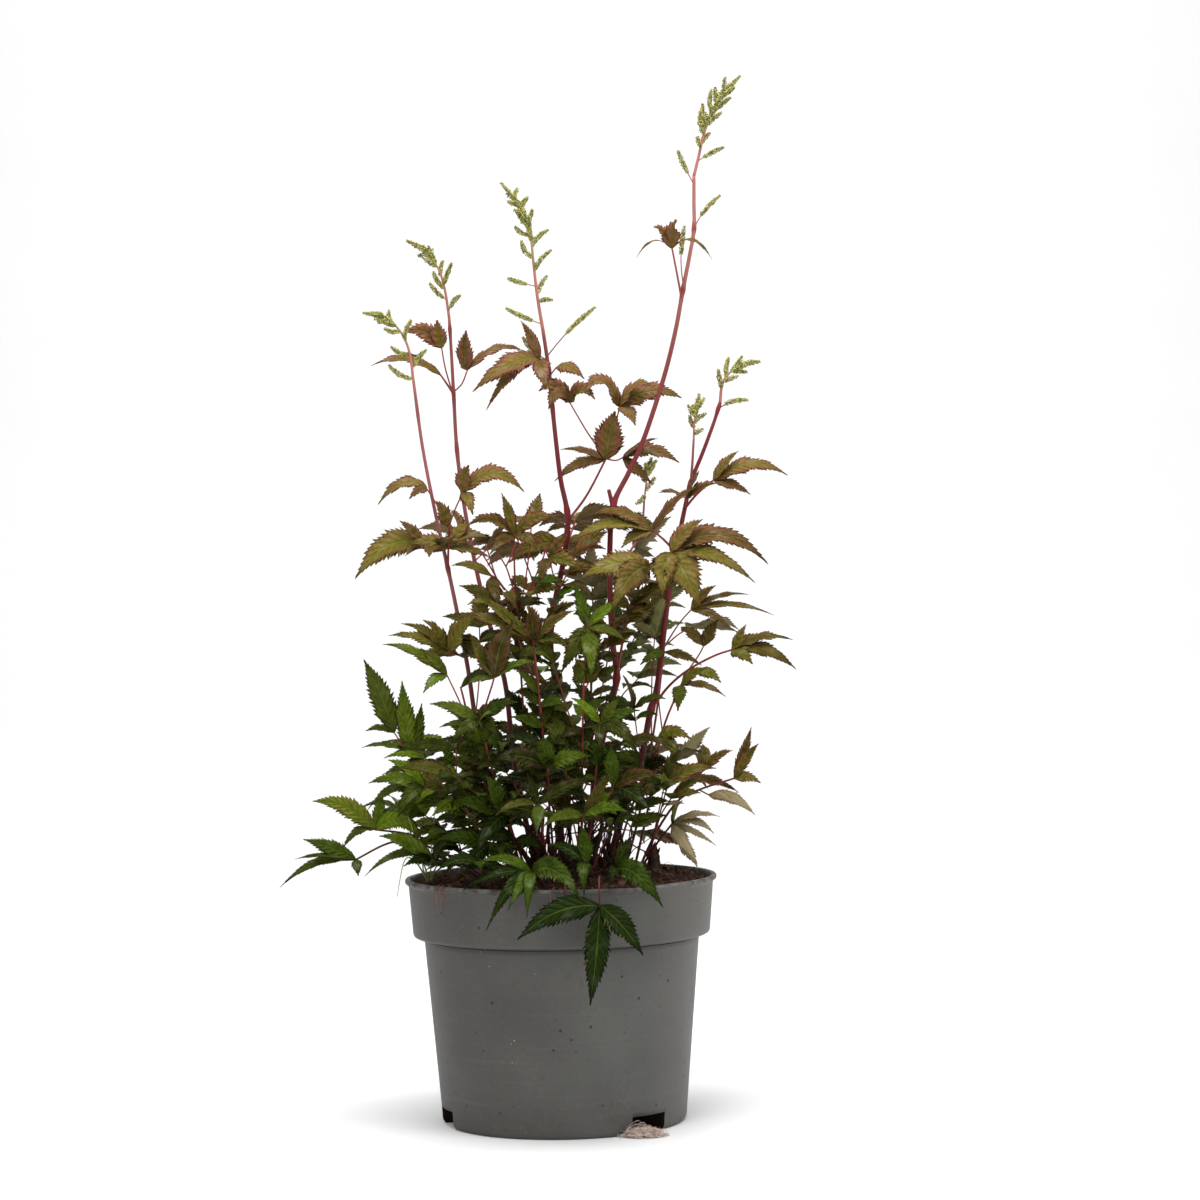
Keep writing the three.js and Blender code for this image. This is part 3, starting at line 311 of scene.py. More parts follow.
grey = Finish("grey polypropylene")
across, up = grey.along("X"), grey.along("Z")
clouds = grey.noise(34, detail=2)
streaks = grey.noise(9, place=grey.stretched(1, 1, 0.12), offset=3)
rings = grey.noise(2.4, detail=2, place=grey.stretched(0.03, 0.03, 1), offset=7)
dust = grey.noise(3.2, detail=6, roughness=0.75, offset=11) * 0.6 + clouds * 0.4
dust = dust.between(0.52, 0.66)
low_down = up.between(60 * MM, 0) * 0.5 + 0.3
specks = grey.spots(130).between(0.16, 0.07) * grey.noise(14, offset=21).between(0.48, 0.56)
pale = grey.spots(171).between(0.09, 0.04) * grey.noise(19, offset=31).between(0.6, 0.64)
stain = up.between(134 * MM, 149 * MM) * grey.noise(7, detail=5, offset=41)
stain = stain.between(0.38, 0.6) * 0.75
# painted light and shade across the pot: lighter towards the right, and darker and browner towards
# the left
painted_side_light = across.between(-95 * MM, 95 * MM)
shadows = grey.noise(60, detail=1, offset=51).between(0.4, 0.65)
warm = across.between(48 * MM, 82 * MM)
fine_dirt = grey.noise(2.2, detail=5, roughness=0.7, offset=71).between(0.5, 0.7)
dark_dirt = grey.noise(4.5, detail=4, offset=81).between(0.55, 0.75)
mud = up.between(26 * MM, 2 * MM) * grey.noise(6, detail=5, offset=91).between(0.5, 0.66)
fold_shade = up.between(113.5 * MM, 112 * MM) * up.between(108 * MM, 111 * MM)
# the top of the rolled lip is paler in broken patches: partly wear, partly a painted highlight along
# the lip
worn = up.between(145.6 * MM, 147 * MM) * grey.noise(5, detail=4, offset=61).between(0.4, 0.7)
plastic = (clouds * 0.6 + streaks * 0.4, (0.052, 0.053, 0.048), (0.088, 0.089, 0.082))
grey.surface(
    Base_Color=grey.layered(
        grey.mixed(*plastic),
        # painted shade on the left side of the pot, then painted light on the right side
        ((1 - painted_side_light) * 0.5, (0.055, 0.048, 0.042)),
        (painted_side_light * 0.3, (0.125, 0.124, 0.117)),
        (shadows * 0.35, (0.045, 0.041, 0.037)),
        (warm * 0.4, (0.125, 0.108, 0.097)),
        (rings.between(0.55, 0.8) * 0.22, (0.13, 0.127, 0.120)),
        (fine_dirt * 0.22, (0.12, 0.115, 0.106)),
        (dark_dirt * 0.3, (0.040, 0.036, 0.032)),
        (mud * 0.5, (0.075, 0.042, 0.028)),
        (dust * low_down * 0.5, (0.13, 0.12, 0.108)),
        (specks, (0.02, 0.014, 0.010)),
        (pale, (0.32, 0.30, 0.27)),
        (stain, (0.03, 0.020, 0.014)),
        (fold_shade * 0.5, (0.02, 0.019, 0.018)),
        # wear and painted highlight on the top of the lip
        (worn * 0.6, (0.20, 0.19, 0.18)),
    ),
    Roughness=(0.46 + streaks * 0.12 + dust * 0.14 + stain * 0.2).clipped(),
    Normal=grey.bump(rings * 0.5 + streaks * 0.3 + grey.noise(1.1, offset=5) * 0.4, 0.16),
    Specular_IOR_Level=0.3,
)

# A near-black finish of painted shade for the recesses: inside the notches, where the grey
# plastic lies in shade, and in the six drain holes punched through the raised ring under the
# floor. Each hole shows as a short well with a thin burr at its mouth.
hole = Finish("shade inside a drain hole")
hole.surface(
    Base_Color=hole.mixed(hole.noise(2), (0.003, 0.002, 0.0015), (0.014, 0.009, 0.007)),
    Roughness=0.9 + hole.noise(2) * 0.1,
    Normal=hole.bump(hole.noise(0.8), 0.2),
    Specular_IOR_Level=0.02,
)
# faces in or beside a notch take the near-black painted shade
shaded = notched | np.roll(notched, -1, 1)
pot = Shells()
pot.add(pot_grid, (shaded[:-1] | shaded[1:]) * 1)
pot.piece("pot_shell", [grey.material, hole.material], "pot_plastic", "nursery_pot")

hole_outline = [(0.2, 4.8), (3.6, 4.8), (3.6, 3.45), (3.3, 3.2), (3.0, 3.5), (2.6, 4.4), (0.2, 4.6)]
well = lathe(np.array(hole_outline), full_turn(20))
drain_turns = np.pi * (2 * np.arange(DRAINS) + 1) / DRAINS + DRAINS_TURNED
drain_places = about(drain_turns, DRAIN_RING, DRAIN_RING, 0)
drains = Shells()
drains.add(well[None] + drain_places[:, None, None])
drains.piece("drain_wells", [hole.material], "pot_plastic")

# ---------------------------------------------------------------- soil
# Moist peat compost with bark crumbs, fine roots and coir, pressed to the shape of the pot and
# loose on top, where it nearly reaches the lip. A few fine roots hang out over it.
SOIL_TOP = 145.2
SOIL_REACH = 87  # how far from the middle crumbs and roots may lie
CRUMBS, BARK_PIECES, FINE_ROOTS = 620, 140, 140


def soil_height(x, y):
    """Height of the loose soil in millimetres: a level plus a bell-shaped mound round the crown,
    slow waves and finer crumbling, each the product of two sines."""
    slow = 1.3 * np.sin(x * 0.11 + 0.7) * np.cos(y * 0.13) + 0.9 * np.sin(x * 0.23 - y * 0.19 + 1.1)
    fine = 0.5 * np.sin(x * 0.9 + 2 * np.sin(y * 0.31)) * np.sin(y * 0.8 + 1.3 * np.sin(x * 0.27))
    mound = 5 * np.exp(-(((x - 34) / 26) ** 2) - ((y - 4) / 24) ** 2)
    return SOIL_TOP + mound + slow + fine + 0.35 * np.sin(1.9 * x + y) * np.sin(1.7 * y - x)


def path_through(points, spans=6):
    """A smooth Catmull-Rom curve through the points, with the given steps between each two."""
    points = np.asarray(points, float)
    line = np.vstack([2 * points[0] - points[1], points, 2 * points[-1] - points[-2]])
    a, b, c, d = (line[k : len(line) - 3 + k, None] for k in range(4))
    t = np.linspace(0, 1, spans, endpoint=False)[None, :, None]
    curve = 2 * b + (c - a) * t + (2 * a - 5 * b + 4 * c - d) * t**2 + (3 * b - a - 3 * c + d) * t**3
    return np.vstack([(curve / 2).reshape(-1, 3), points[-1:]])


def unit(vectors):
    """The vectors divided by their lengths."""
    return vectors / np.maximum(np.linalg.norm(vectors, axis=-1, keepdims=True), 1e-9)


def tube(path, radius, around=8):
    """Rings square to a path (..., steps, 3), each a circle of that step's radius."""
    tangent = unit(np.gradient(path, axis=-2))
    spread = np.abs(tangent).reshape(-1, 3).max(0)
    side = unit(np.cross(tangent, np.eye(3)[spread.argmin()]))
    up = np.cross(tangent, side)
    turn = 2 * np.pi * np.arange(around)[:, None] / around
    ring = np.cos(turn) * side[..., None, :] + np.sin(turn) * up[..., None, :]
    radius = np.broadcast_to(radius, path.shape[:-1])
    return path[..., None, :] + radius[..., None, None] * ring


def strands(rng, starts, ends, sag, radius, steps=7, around=4):
    """Thin hairs from starts to ends: straight lines plus a random bow that is 0 at both ends,
    lowered in the middle by sag, thinning towards the tip."""
    t = np.linspace(0, 1, steps)[None, :, None]
    bow = rng.normal(0, 1, (len(starts), 1, 3)) * np.sin(np.pi * t)
    wave = rng.normal(0, 0.35, (len(starts), 1, 3))
    wave = wave * np.sin(2 * np.pi * t + rng.uniform(0, 6, (len(starts), 1, 1)))
    reach = np.linalg.norm(ends - starts, axis=1)[:, None, None]
    path = starts[:, None] * (1 - t) + ends[:, None] * t + (bow * 0.16 + wave * t * (1 - t)) * reach
    path[..., 2] -= sag * 4 * (t * (1 - t))[..., 0]
    thick = rng.uniform(0.6, 1.2, (len(starts), 1)) * radius * (1 - 0.6 * t[..., 0])
    return tube(path, thick, around)


def ball(tilts, turns):
    """Rings of a ball of radius 1, at the given tilts in degrees and turns in radians."""
    tilts = np.radians(tilts)[:, None]
    return about(turns, np.cos(tilts), np.cos(tilts), np.sin(tilts))


def crumbs(rng, places, low, high):
    """Angular lumps: small spheres of 3 rings of 5 points, each squashed and dented at random."""
    lump = ball([-50, 0, 50], 2 * np.pi * np.arange(5) / 5)
    size = rng.uniform(low, high, (len(places), 1, 1, 1))
    size = size * rng.uniform(0.5, 1.2, (len(places), 1, 1, 3))
    dents = rng.uniform(0.7, 1.25, (len(places), 3, 5, 1))
    return places[:, None, None] + lump * size * dents


rng = np.random.default_rng(11)
soil_radii = np.concatenate([[0.5, 3], np.linspace(6, 90.4, 58)])
side_radii = np.array([0.5, 57, 57.6, 72.4, 81.2, 87.2])
side_heights = np.array([5.6, 5.6, 12.8, 14, 108.6, 115])
soil_turns = full_turn(200)
top = lathe(np.stack([soil_radii[::-1], 0 * soil_radii], 1), soil_turns)
top[..., 2] = soil_height(top[..., 0], top[..., 1]) + rng.normal(0, 0.28, top.shape[:2])
top[0, :, 2] -= 1.2
soil_grid = np.concatenate([lathe(np.stack([side_radii, side_heights], 1), soil_turns), top])

peat = Finish("moist peat")
grain = peat.noise(2.2, detail=8, roughness=0.7)
flecks = peat.noise(1.3, detail=4, offset=9).between(0.63, 0.7)
peat.surface(
    Base_Color=peat.layered(
        peat.mixed(grain.between(0.3, 0.72), (0.007, 0.004, 0.003), (0.054, 0.026, 0.016)),
        (peat.noise(16, offset=3).between(0.5, 0.7) * 0.5, (0.060, 0.028, 0.017)),
        (flecks * 0.5, (0.16, 0.085, 0.05)),
    ),
    Roughness=0.82 + grain * 0.16,
    Normal=peat.bump(grain + peat.noise(0.7, offset=2) * 0.4, 1.4),
    Specular_IOR_Level=0.08,
)
bark = Finish("bark crumb")
bark_grain = bark.noise(2, detail=5, place=bark.stretched(1, 1, 3))
bark_lot = bark.noise(11, offset=5).between(0.35, 0.65)
bark_tone = bark.mixed(bark_lot, (0.014, 0.007, 0.005), (0.085, 0.040, 0.024))
bark.surface(
    Base_Color=bark.mixed(bark_grain * 0.5, bark_tone, (0.14, 0.085, 0.055)),
    Roughness=0.75 + bark_grain * 0.2,
    Normal=bark.bump(bark_grain, 0.5),
    Specular_IOR_Level=0.08,
)
root = Finish("fine root")
root_tone = root.noise(12, detail=2).between(0.35, 0.65)
root.surface(
    Base_Color=root.mixed(root_tone, (0.07, 0.022, 0.014), (0.26, 0.13, 0.085)),
    Roughness=0.6 + root.noise(1) * 0.25,
    Normal=root.bump(root.noise(0.6), 0.15),
    Specular_IOR_Level=0.08,
)

soil = Shells()
soil.add(soil_grid)
lying = CRUMBS + BARK_PIECES + FINE_ROOTS
spread = np.sqrt(rng.uniform(0, 1, lying)) * SOIL_REACH
places = about(rng.uniform(0, 2 * np.pi, lying), spread, spread, 0)
places[:, 2] = soil_height(*places[:, :2].T) + rng.uniform(-0.3, 0.9, lying)
loose, pieces, starts = np.split(places, [CRUMBS, CRUMBS + BARK_PIECES])
soil.add(crumbs(rng, loose, 0.7, 1.9), 1)
soil.add(crumbs(rng, pieces, 1.6, 3.6), 1)
shift = rng.normal(0, 9, (FINE_ROOTS, 2)), rng.uniform(-0.5, 2.5, FINE_ROOTS)
ends = starts + np.column_stack(shift)
ends[:, :2] *= np.minimum(1, SOIL_REACH / np.linalg.norm(ends[:, :2], axis=1))[:, None]
soil.add(strands(rng, starts, ends, -0.8, 0.22), 2)
# roots that hang over the lip: from the soil, over the rim and down its outside
over_turns = np.radians(np.concatenate([rng.normal(-86, 2.2, 7), rng.normal(-137, 2.4, 6)]))
over = np.stack([np.cos(over_turns), np.sin(over_turns)], -1)[:, None]
reach = np.array([84, 90, 93.6, 96, 96])[None, :, None]
drop = np.outer(rng.uniform(0, 10, len(over)), [0, 0, 0, 0.15, 1])
rise = np.array([145.5, 148.2, 149.3, 147, 143]) - drop
sideways = np.cumsum(rng.normal(0, 0.012, rise.shape), 1)[..., None]
sideways = sideways * np.flip(over, -1) * (-90, 90)
routes = np.concatenate([over * reach + sideways, rise[..., None]], -1)
hanging = np.stack([path_through(route, 4) for route in routes])
soil.add(tube(hanging, np.linspace(0.34, 0.14, hanging.shape[1]), 4), 2)
earths = [peat.material, bark.material, root.material]
soil.piece("soil_top_and_roots", earths, "potting_soil", "root_ball")

# ---------------------------------------------------------------- crown and old stub
# The woody rootstock just breaks the soil. Brown bud scales stand on it round the foot of each
# stalk, and behind it stands the dark rough stub of a dead shoot.
CROWN_MIDDLE = np.array([8, 0, SOIL_TOP])
CROWN_RADII = np.array([38, 30, 9])
BUD_SCALES, OLD_FEET = 150, 34
STUB_LINE = [[56, 22, 138], [56.6, 22.6, 147], [57.2, 23, 154], [56.4, 22.4, 163]]
SPLINTER_FEET = [
    [55.2, 21.4, 159], [57, 22.6, 160], [56.2, 21, 161], [54.6, 22.6, 156], [58.4, 23, 157],
]
SPLINTER_RISES = [[-1.2, 0, 5], [1.4, 0.4, 6], [0, -1, 4.4], [-3.4, 0.4, 3.6], [3, 0.2, 5.2]]

wood = Finish("rootstock and old bark")
fibres = wood.noise(3, detail=6, place=wood.stretched(1, 1, 0.2))
wood_tone = wood.mixed(fibres.between(0.3, 0.7), (0.014, 0.008, 0.006), (0.072, 0.038, 0.026))
wood.surface(
    Base_Color=wood.mixed(wood.noise(6, offset=4).between(0.6, 0.7), wood_tone, (0.1, 0.05, 0.035)),
    Roughness=0.7 + fibres * 0.25,
    Normal=wood.bump(fibres + wood.noise(1.2, offset=8) * 0.5, 0.9),
    Specular_IOR_Level=0.1,
)
lump = ball(np.linspace(-80, 80, 25), full_turn(60))
knobs = 1 + 0.05 * np.sin(5 * lump[..., :1] + 3) * np.sin(6 * lump[..., 1:2] + 1)
knobs = knobs + 0.02 * np.sin(23 * lump[..., :1]) * np.sin(19 * lump[..., 1:2])
crown = Shells()
crown.add(CROWN_MIDDLE + lump * CROWN_RADII * knobs)
turn = rng.uniform(0, 2 * np.pi, BUD_SCALES)
spread = np.sqrt(rng.uniform(0.02, 1, BUD_SCALES))
feet = CROWN_MIDDLE + about(turn, 34 * spread, 26 * spread, 7 - 5 * spread**2)
lean = unit(about(turn, spread, spread, 1.6))
steps = np.linspace(0, 1, 4)[None, :, None]
scales = feet[:, None] + lean[:, None] * rng.uniform(4, 11, (BUD_SCALES, 1, 1)) * steps
crown.add(tube(scales, np.array([1.1, 1.6, 1.1, 0.15]), 6))
# the dry feet of last year's stalks
feet = CROWN_MIDDLE + about(rng.uniform(0, 2 * np.pi, OLD_FEET), 26, 19, 4)
heads = feet * (1.12, 1.12, 1)
heads[:, 2] += rng.uniform(14, 46, OLD_FEET)
crown.add(strands(rng, feet, heads, 0, 1.9, around=7))
crown.piece("crown_and_bud_scales", [wood.material], "crown_wood", "crown")

stub_path = path_through(STUB_LINE, 8)
share = np.linspace(0, 1, len(stub_path))
stub_grid = tube(stub_path, np.interp(share, [0, 0.3, 0.55, 1], [6.2, 5.2, 3.9, 2.5]), 18)
ridges = 1 + 0.16 * np.sin(3 * np.arange(18))[None, :, None]
ridges = ridges + rng.normal(0, 0.05, (len(stub_path), 18, 1))
stub = Shells()
stub.add(stub_path[:, None] + (stub_grid - stub_path[:, None]) * ridges)
splinters = np.array(SPLINTER_FEET)
points_up = splinters + SPLINTER_RISES
route = splinters[:, None] * (1 - steps) + points_up[:, None] * steps
stub.add(tube(route, np.array([1.3, 1.2, 0.8, 0.15]), 6))
stub.piece("old_stub", [wood.material], "crown_wood", "dead_stub")

# ---------------------------------------------------------------- flower stalks
# Living stalks, round and finely haired, with swollen joints where leaves and side shoots part.
# They are dark red at the foot, paler and pinker higher up, and yellow-green among the buds.
BROKEN_SHOOT = [[36, -15, 370], [34.6, -15.6, 376], [33.2, -16, 382]]
PALE_STALKS = {"flower_stem_1": 1, "flower_stem_2": 0.6, "side_shoot_6": 0.7, "side_shoot_7": 1}
JOINT_SWELL, JOINT_LENGTH = 0.4, 3


def entries(text):
    """The numbers of a table whose entries are parted by commas and their numbers by blanks."""
    return [[float(word) for word in entry.split()] for entry in text.split(",")]


# Each stalk: radii at foot and top, heights of the joints, points x y z of the centre line up to
# the spike and of the spike (top), and bud clusters as height on the line, tip x y z, bare share
# of the cluster's own stalk.
STALKS = [
    dict(
        name="flower_stem_1", radii=(1.7, 0.9), joints=(337, 432),
        line="""
            -20 -3 134, -31 -5 165, -42 -8 205, -49 -9 237, -54 -10 275, -60 -12 310, -65 -12 336,
            -72 -14 370, -79 -15 410, -83.5 -16 448""",
        top="-83.6 -16 449.5, -86 -17 468, -92 -18 481, -102 -20 489, -113 -21 491",
        buds="""
            451 -98 -22 459 0.15, 455 -76 -10 469 0.3, 466 -97 -12 471 0.1, 474 -84 -22 486 0.1,
            480 -100 -24 481 0.1, 484 -98 -14 493 0.1, 487 -104 -24 485 0.1""",
    ),
    dict(
        name="flower_stem_2", radii=(1.8, 0.9), joints=(408, 443, 484),
        line="""
            -12 8 134, -21 12 180, -28 16 220, -32 17 262, -38 18 288, -44 19 312, -50 20 340,
            -56 21 375, -60 22 410, -61.5 23 445, -62.5 24 470, -63.5 24 492""",
        top="-63.6 24 493.5, -66 24 510, -70 24 523, -78 23 534, -89 22 540",
        buds="""
            495 -56 18 505 0.3, 503 -75 20 513 0.2, 510 -73 28 521 0.15, 512 -61 18 525 0.1,
            518 -67 30 528 0.1, 524 -78 18 528 0.1, 529 -73 27 535 0.1, 532 -82 26 531 0.1""",
    ),
    dict(
        name="flower_stem_3", radii=(2.4, 1.1), joints=(355, 369, 435, 456),
        line="""
            2 0 134, 0 1 180, -1 2 225, -1 3 262, -4 4 290, 0 3 318, 5 2 340, 8 1 366, 4 0 390,
            1 -2 420, -2 -4 456, -5 -5 480""",
        top="-5.3 -5 481.5, -8 -6 500, -10 -6 520, -12 -7 540, -18 -7 556, -29 -8 570",
        stem_buds="464 27 -12 493 0.5, 462 -17 -16 475 0.4",
        buds="""
            484 -27 -14 493 0.35, 497 1 -10 498 0.2, 502 -2 0 514 0.1, 507 -26 2 513 0.4,
            516 1 -12 528 0.15, 524 -17 -12 534 0.1, 531 -1 0 542 0.15, 538 -21 -2 544 0.2,
            541 -10 -13 553 0.1, 547 -20 -2 554 0.1, 553 -13 -2 562 0.1, 557 -25 -12 558 0.1,
            560 -19 -4 567 0.1""",
    ),
    dict(
        name="flower_stem_4", radii=(2.1, 1), joints=(268, 373, 503, 541),
        line="""
            14 -8 134, 19 -13 180, 25 -18 222, 31 -21 248, 36 -22 268, 34 -20 290, 33 -18 320,
            33.5 -16 350, 36 -15 373, 46 -13 393, 56 -11 415, 68 -9 450, 75.5 -7 478, 80.5 -6 503,
            85 -5 524, 88 -4 540, 88.3 -3 556, 88.6 -3 573""",
        top="89.1 -3 574.5, 92 -2 586, 95 -1 598, 99 0 608, 107 0 623, 118 0 634",
        stem_buds="505 82 -14 541 0.62, 541 104 -8 560 0.45, 568 79 -6 588 0.45",
        buds="""
            582 107 -4 590 0.3, 591 91 -8 596 0.1, 593 99 4 600 0.1, 598 93 -6 612 0.1,
            601 95 4 618 0.1, 603 106 -4 611 0.2, 610 100 -6 625 0.1, 613 112 6 622 0.1,
            617 103 5 628 0.1, 620 114 -6 626 0.1, 624 109 -3 633 0.1""",
    ),
    dict(
        name="flower_stem_5", radii=(2.2, 1), joints=(248, 386, 432),
        line="""
            24 4 134, 37 6 180, 50 8 217, 56 10 244, 61 11 262, 65 12 290, 69 13 318, 73 14 342,
            77 14 358, 80 15 371, 84 15 387, 92 16 406, 99 17 424, 103 18 436""",
        top="103.3 18 437.5, 104.5 18 447, 109 18 454, 118 18 459, 128 18 461",
        stem_buds="432 120 14 437 0.35",
        buds="""
            445 102 12 456 0.1, 449 114 14 452 0.1, 451 109 22 464 0.1, 455 120 24 455 0.1,
            457 117 14 464 0.1""",
    ),
    dict(
        name="side_shoot_6", radii=(0.9, 0.7),
        line="84 15 387, 85 12 398, 86 11 412",
        top="86.1 11 413.5, 87 11 426, 90 10 441",
        buds="""
            416 92 8 419 0.2, 420 84 14 428 0.1, 423 94 12 429 0.1, 427 83 8 434 0.1,
            431 93 6 438 0.1""",
    ),
    dict(
        name="side_shoot_7", radii=(0.9, 0.6),
        line="34 -17 334, 42 -4 340, 50 6 352, 54 9 366, 55 9 376",
        top="55.1 9 377.5, 57 9 390, 60 9 402",
        buds="380 50 6 374 0.2, 381 62 10 390 0.2, 387 52 12 397 0.1, 392 63 5 400 0.1",
    ),
]

skin = Finish("stalk skin")
up = skin.along("Z")
mottle = skin.noise(9, detail=3, place=skin.stretched(1, 1, 0.25)).between(0.4, 0.7)
down = skin.noise(0.5, detail=2, place=skin.stretched(1, 1, 0.4), offset=2)
skin.surface(
    Base_Color=skin.layered(
        skin.mixed(up.between(0.18, 0.36), (0.050, 0.007, 0.008), (0.14, 0.012, 0.018)),
        (up.between(0.36, 0.46), (0.20, 0.038, 0.041)),
        (skin.attribute("pale") * up.between(0.22, 0.34), (0.30, 0.10, 0.10)),
        (up.between(0.45, 0.54), (0.42, 0.165, 0.135)),
        (mottle * 0.3, (0.20, 0.085, 0.055)),
        (skin.attribute("joint"), (0.21, 0.019, 0.021)),
        (skin.attribute("thin") * up.between(0.14, 0.25), (0.27, 0.052, 0.042)),
    ),
    Roughness=0.42 + down * 0.2,
    Normal=skin.bump(down + skin.noise(2.4, place=skin.stretched(1, 1, 0.15)) * 0.6, 0.12),
    Specular_IOR_Level=0.16,
)


def stalk(line, foot, head, joints=(), around=8):
    """A tube along the line whose radius falls evenly from foot to head and swells, as a bell
    curve three millimetres wide, at the height of each joint."""
    path = path_through(line)
    share = np.linspace(0, 1, len(path))
    swell = [JOINT_SWELL * np.exp(-(((path[:, 2] - z) / JOINT_LENGTH) ** 2)) for z in joints]
    swell = sum(swell) + 0 * share
    return tube(path, (foot + (head - foot) * share) * (1 + swell), around), swell[:, None, None]


# ---------------------------------------------------------------- flower spikes
# Tight buds of a nodding panicle: each branch is a cigar of pinhead buds in close spirals on a
# thin stalk, and the branches crowd together towards the tip.
BUD_ROW = 1
BUD_SIZE = 0.6
ROW_BUDS = 5
ROW_TURN = 2.4  # radians, the golden angle
CLUSTER_STEPS = 12
BUD_FEATURES = ("joint", "pale", "tone")

rachis = Finish("stalk among the buds")
axis_tone = rachis.noise(14, detail=2).between(0.35, 0.65)
rachis.surface(
    Base_Color=rachis.layered(
        rachis.mixed(axis_tone, (0.42, 0.19, 0.12), (0.34, 0.30, 0.10)),
        (rachis.attribute("pale").between(0.35, 0.8) * 0.85, (0.44, 0.135, 0.12)),
    ),
    Roughness=0.45 + rachis.noise(1) * 0.2,
    Normal=rachis.bump(rachis.noise(0.5), 0.1),
)
budding = Finish("flower buds")
bud_tone = budding.attribute("tone")
budding.surface(
    Base_Color=budding.layered(
        budding.mixed(bud_tone, (0.155, 0.165, 0.036), (0.55, 0.53, 0.18)),
        (budding.noise(5, offset=3).between(0.55, 0.75) * 0.4, (0.36, 0.24, 0.12)),
    ),
    Roughness=0.55 + bud_tone * 0.2,
    Normal=budding.bump(budding.noise(0.4), 0.15),
    Specular_IOR_Level=0.25,
)


def at_height(line, height):
    """The point of a rising line of points at a given height."""
    line = np.asarray(line, float)
    order = np.maximum.accumulate(line[:, 2])
    return np.array([np.interp(height, order, line[:, k]) for k in range(3)])


def bud_coat(rng, shells, path, girth):
    """Buds in rows across a path, each row turned from the one before by the golden angle: small
    ellipsoids of 2 rings of 5 points that stand on a spindle of the given girth."""
    length = np.linalg.norm(np.diff(path, axis=0), axis=1).sum()
    rows = max(int(length / BUD_ROW), 4)
    share = np.linspace(0, 1, len(path))
    t = np.linspace(0, 1, rows)
    centre = np.stack([np.interp(t, share, path[:, k]) for k in range(3)], -1)
    thick = girth * np.sin(np.pi * (0.18 + 0.74 * t)) ** 0.5
    seats = tube(centre, thick, ROW_BUDS)
    tangent = unit(np.gradient(centre, axis=0))[:, None]
    turn = ROW_TURN * np.arange(rows)[:, None, None] + rng.uniform(0, 0.5, (rows, ROW_BUDS, 1))
    out = seats - centre[:, None]
    spin = out * np.cos(turn) + np.cross(tangent, out) * np.sin(turn)
    places = centre[:, None] + spin * rng.uniform(0.8, 1.35, (rows, ROW_BUDS, 1))
    places = places.reshape(-1, 3)
    outward = unit(spin + tangent * 0.6 * thick[:, None, None]).reshape(-1, 3)
    size = BUD_SIZE * rng.uniform(0.75, 1.25, len(places))
    size = (size * np.repeat(0.5 + 0.5 * thick / girth, ROW_BUDS))[:, None]
    spine = places[:, None] + outward[:, None] * (np.array([-0.8, 0.5]) * size * 1.2)[..., None]
    tone = rng.uniform(0, 1, (len(places), 1, 1, 1)) * (0, 0, 1, 0, 0)
    shells.add(tube(spine, size * np.array([0.85, 0.8]), 5), 1, tone)


def bud_cluster(rng, shells, root, tip, bare):
    """A side branch of buds: a thin bowed stalk, bare for a share of its length, then buds."""
    t = np.linspace(0, 1, CLUSTER_STEPS)[:, None]
    bow = unit(np.cross(tip - root, [0.3, 1, 0])) * np.linalg.norm(tip - root)
    bow = bow * rng.uniform(0.02, 0.12)
    path = root * (1 - t) + tip * t + bow * np.sin(np.pi * t)
    shells.add(tube(path, np.linspace(0.42, 0.3, CLUSTER_STEPS), 5), 0)
    bud_coat(rng, shells, path[int(bare * (CLUSTER_STEPS - 1)) :], 1.2)


def bud_clusters(rng, shells, line, clusters):
    """Side branches that leave the line at the given heights."""
    for height, x, y, z, bare in clusters:
        bud_cluster(rng, shells, at_height(line, height), np.array([x, y, z]), bare)


for number, plan in enumerate(STALKS):
    rng = np.random.default_rng(100 + number)
    name, (foot, head) = plan["name"], plan["radii"]
    line, top, buds = (entries(plan[key]) for key in ("line", "top", "buds"))
    body = Shells()
    grid, swell = stalk(line, foot, head, plan.get("joints", ()))
    body.add(grid, 0, swell * (2, 0, 0, 0, 0) + (0, PALE_STALKS.get(name, 0), 0, 0, 0))
    if name == "flower_stem_4":
        body.add(stalk(BROKEN_SHOOT, 1.5, 1.1)[0])
    if "stem_buds" in plan:
        bud_clusters(rng, body, line, entries(plan["stem_buds"]))
    finishes = [skin.material, budding.material]
    body.piece(name + "_skin", finishes, "stalk", name, attributes=BUD_FEATURES)

    spike = Shells()
    axis = path_through([line[-1], *top[1:]], 8)
    red = np.linspace(1, 0, len(axis))[:, None, None] * (0, 1, 0, 0, 0)
    spike.add(tube(axis, np.linspace(head, 0.4, len(axis)), 8), 0, red)
    bud_clusters(rng, spike, top, buds)
    # the tip is crowded: short branches lie close along the nodding end of the axis
    crowded = axis[int(len(axis) * 0.55) :]
    bud_coat(rng, spike, crowded, 1.3)
    for k in np.linspace(0, len(crowded) - 6, 9).astype(int):
        heading = unit(unit(crowded[k + 3] - crowded[k]) + rng.normal(0, 0.3, 3))
        length = 7 - 3.5 * k / len(crowded)
        bud_cluster(rng, spike, crowded[k], crowded[k] + heading * length, 0.05)
    name = f"flower_spike_{number + 1}"
    finishes = [rachis.material, budding.material]
    spike.piece(name + "_buds", finishes, "flower_buds", name, attributes=BUD_FEATURES)

# ---------------------------------------------------------------- leaves on the flower stalks
# Twice-divided leaves with thin red stalks. A leaflet is a pointed, doubly toothed blade, folded
# along its midrib, with sunken side veins; these upper ones are bronze with red margins.

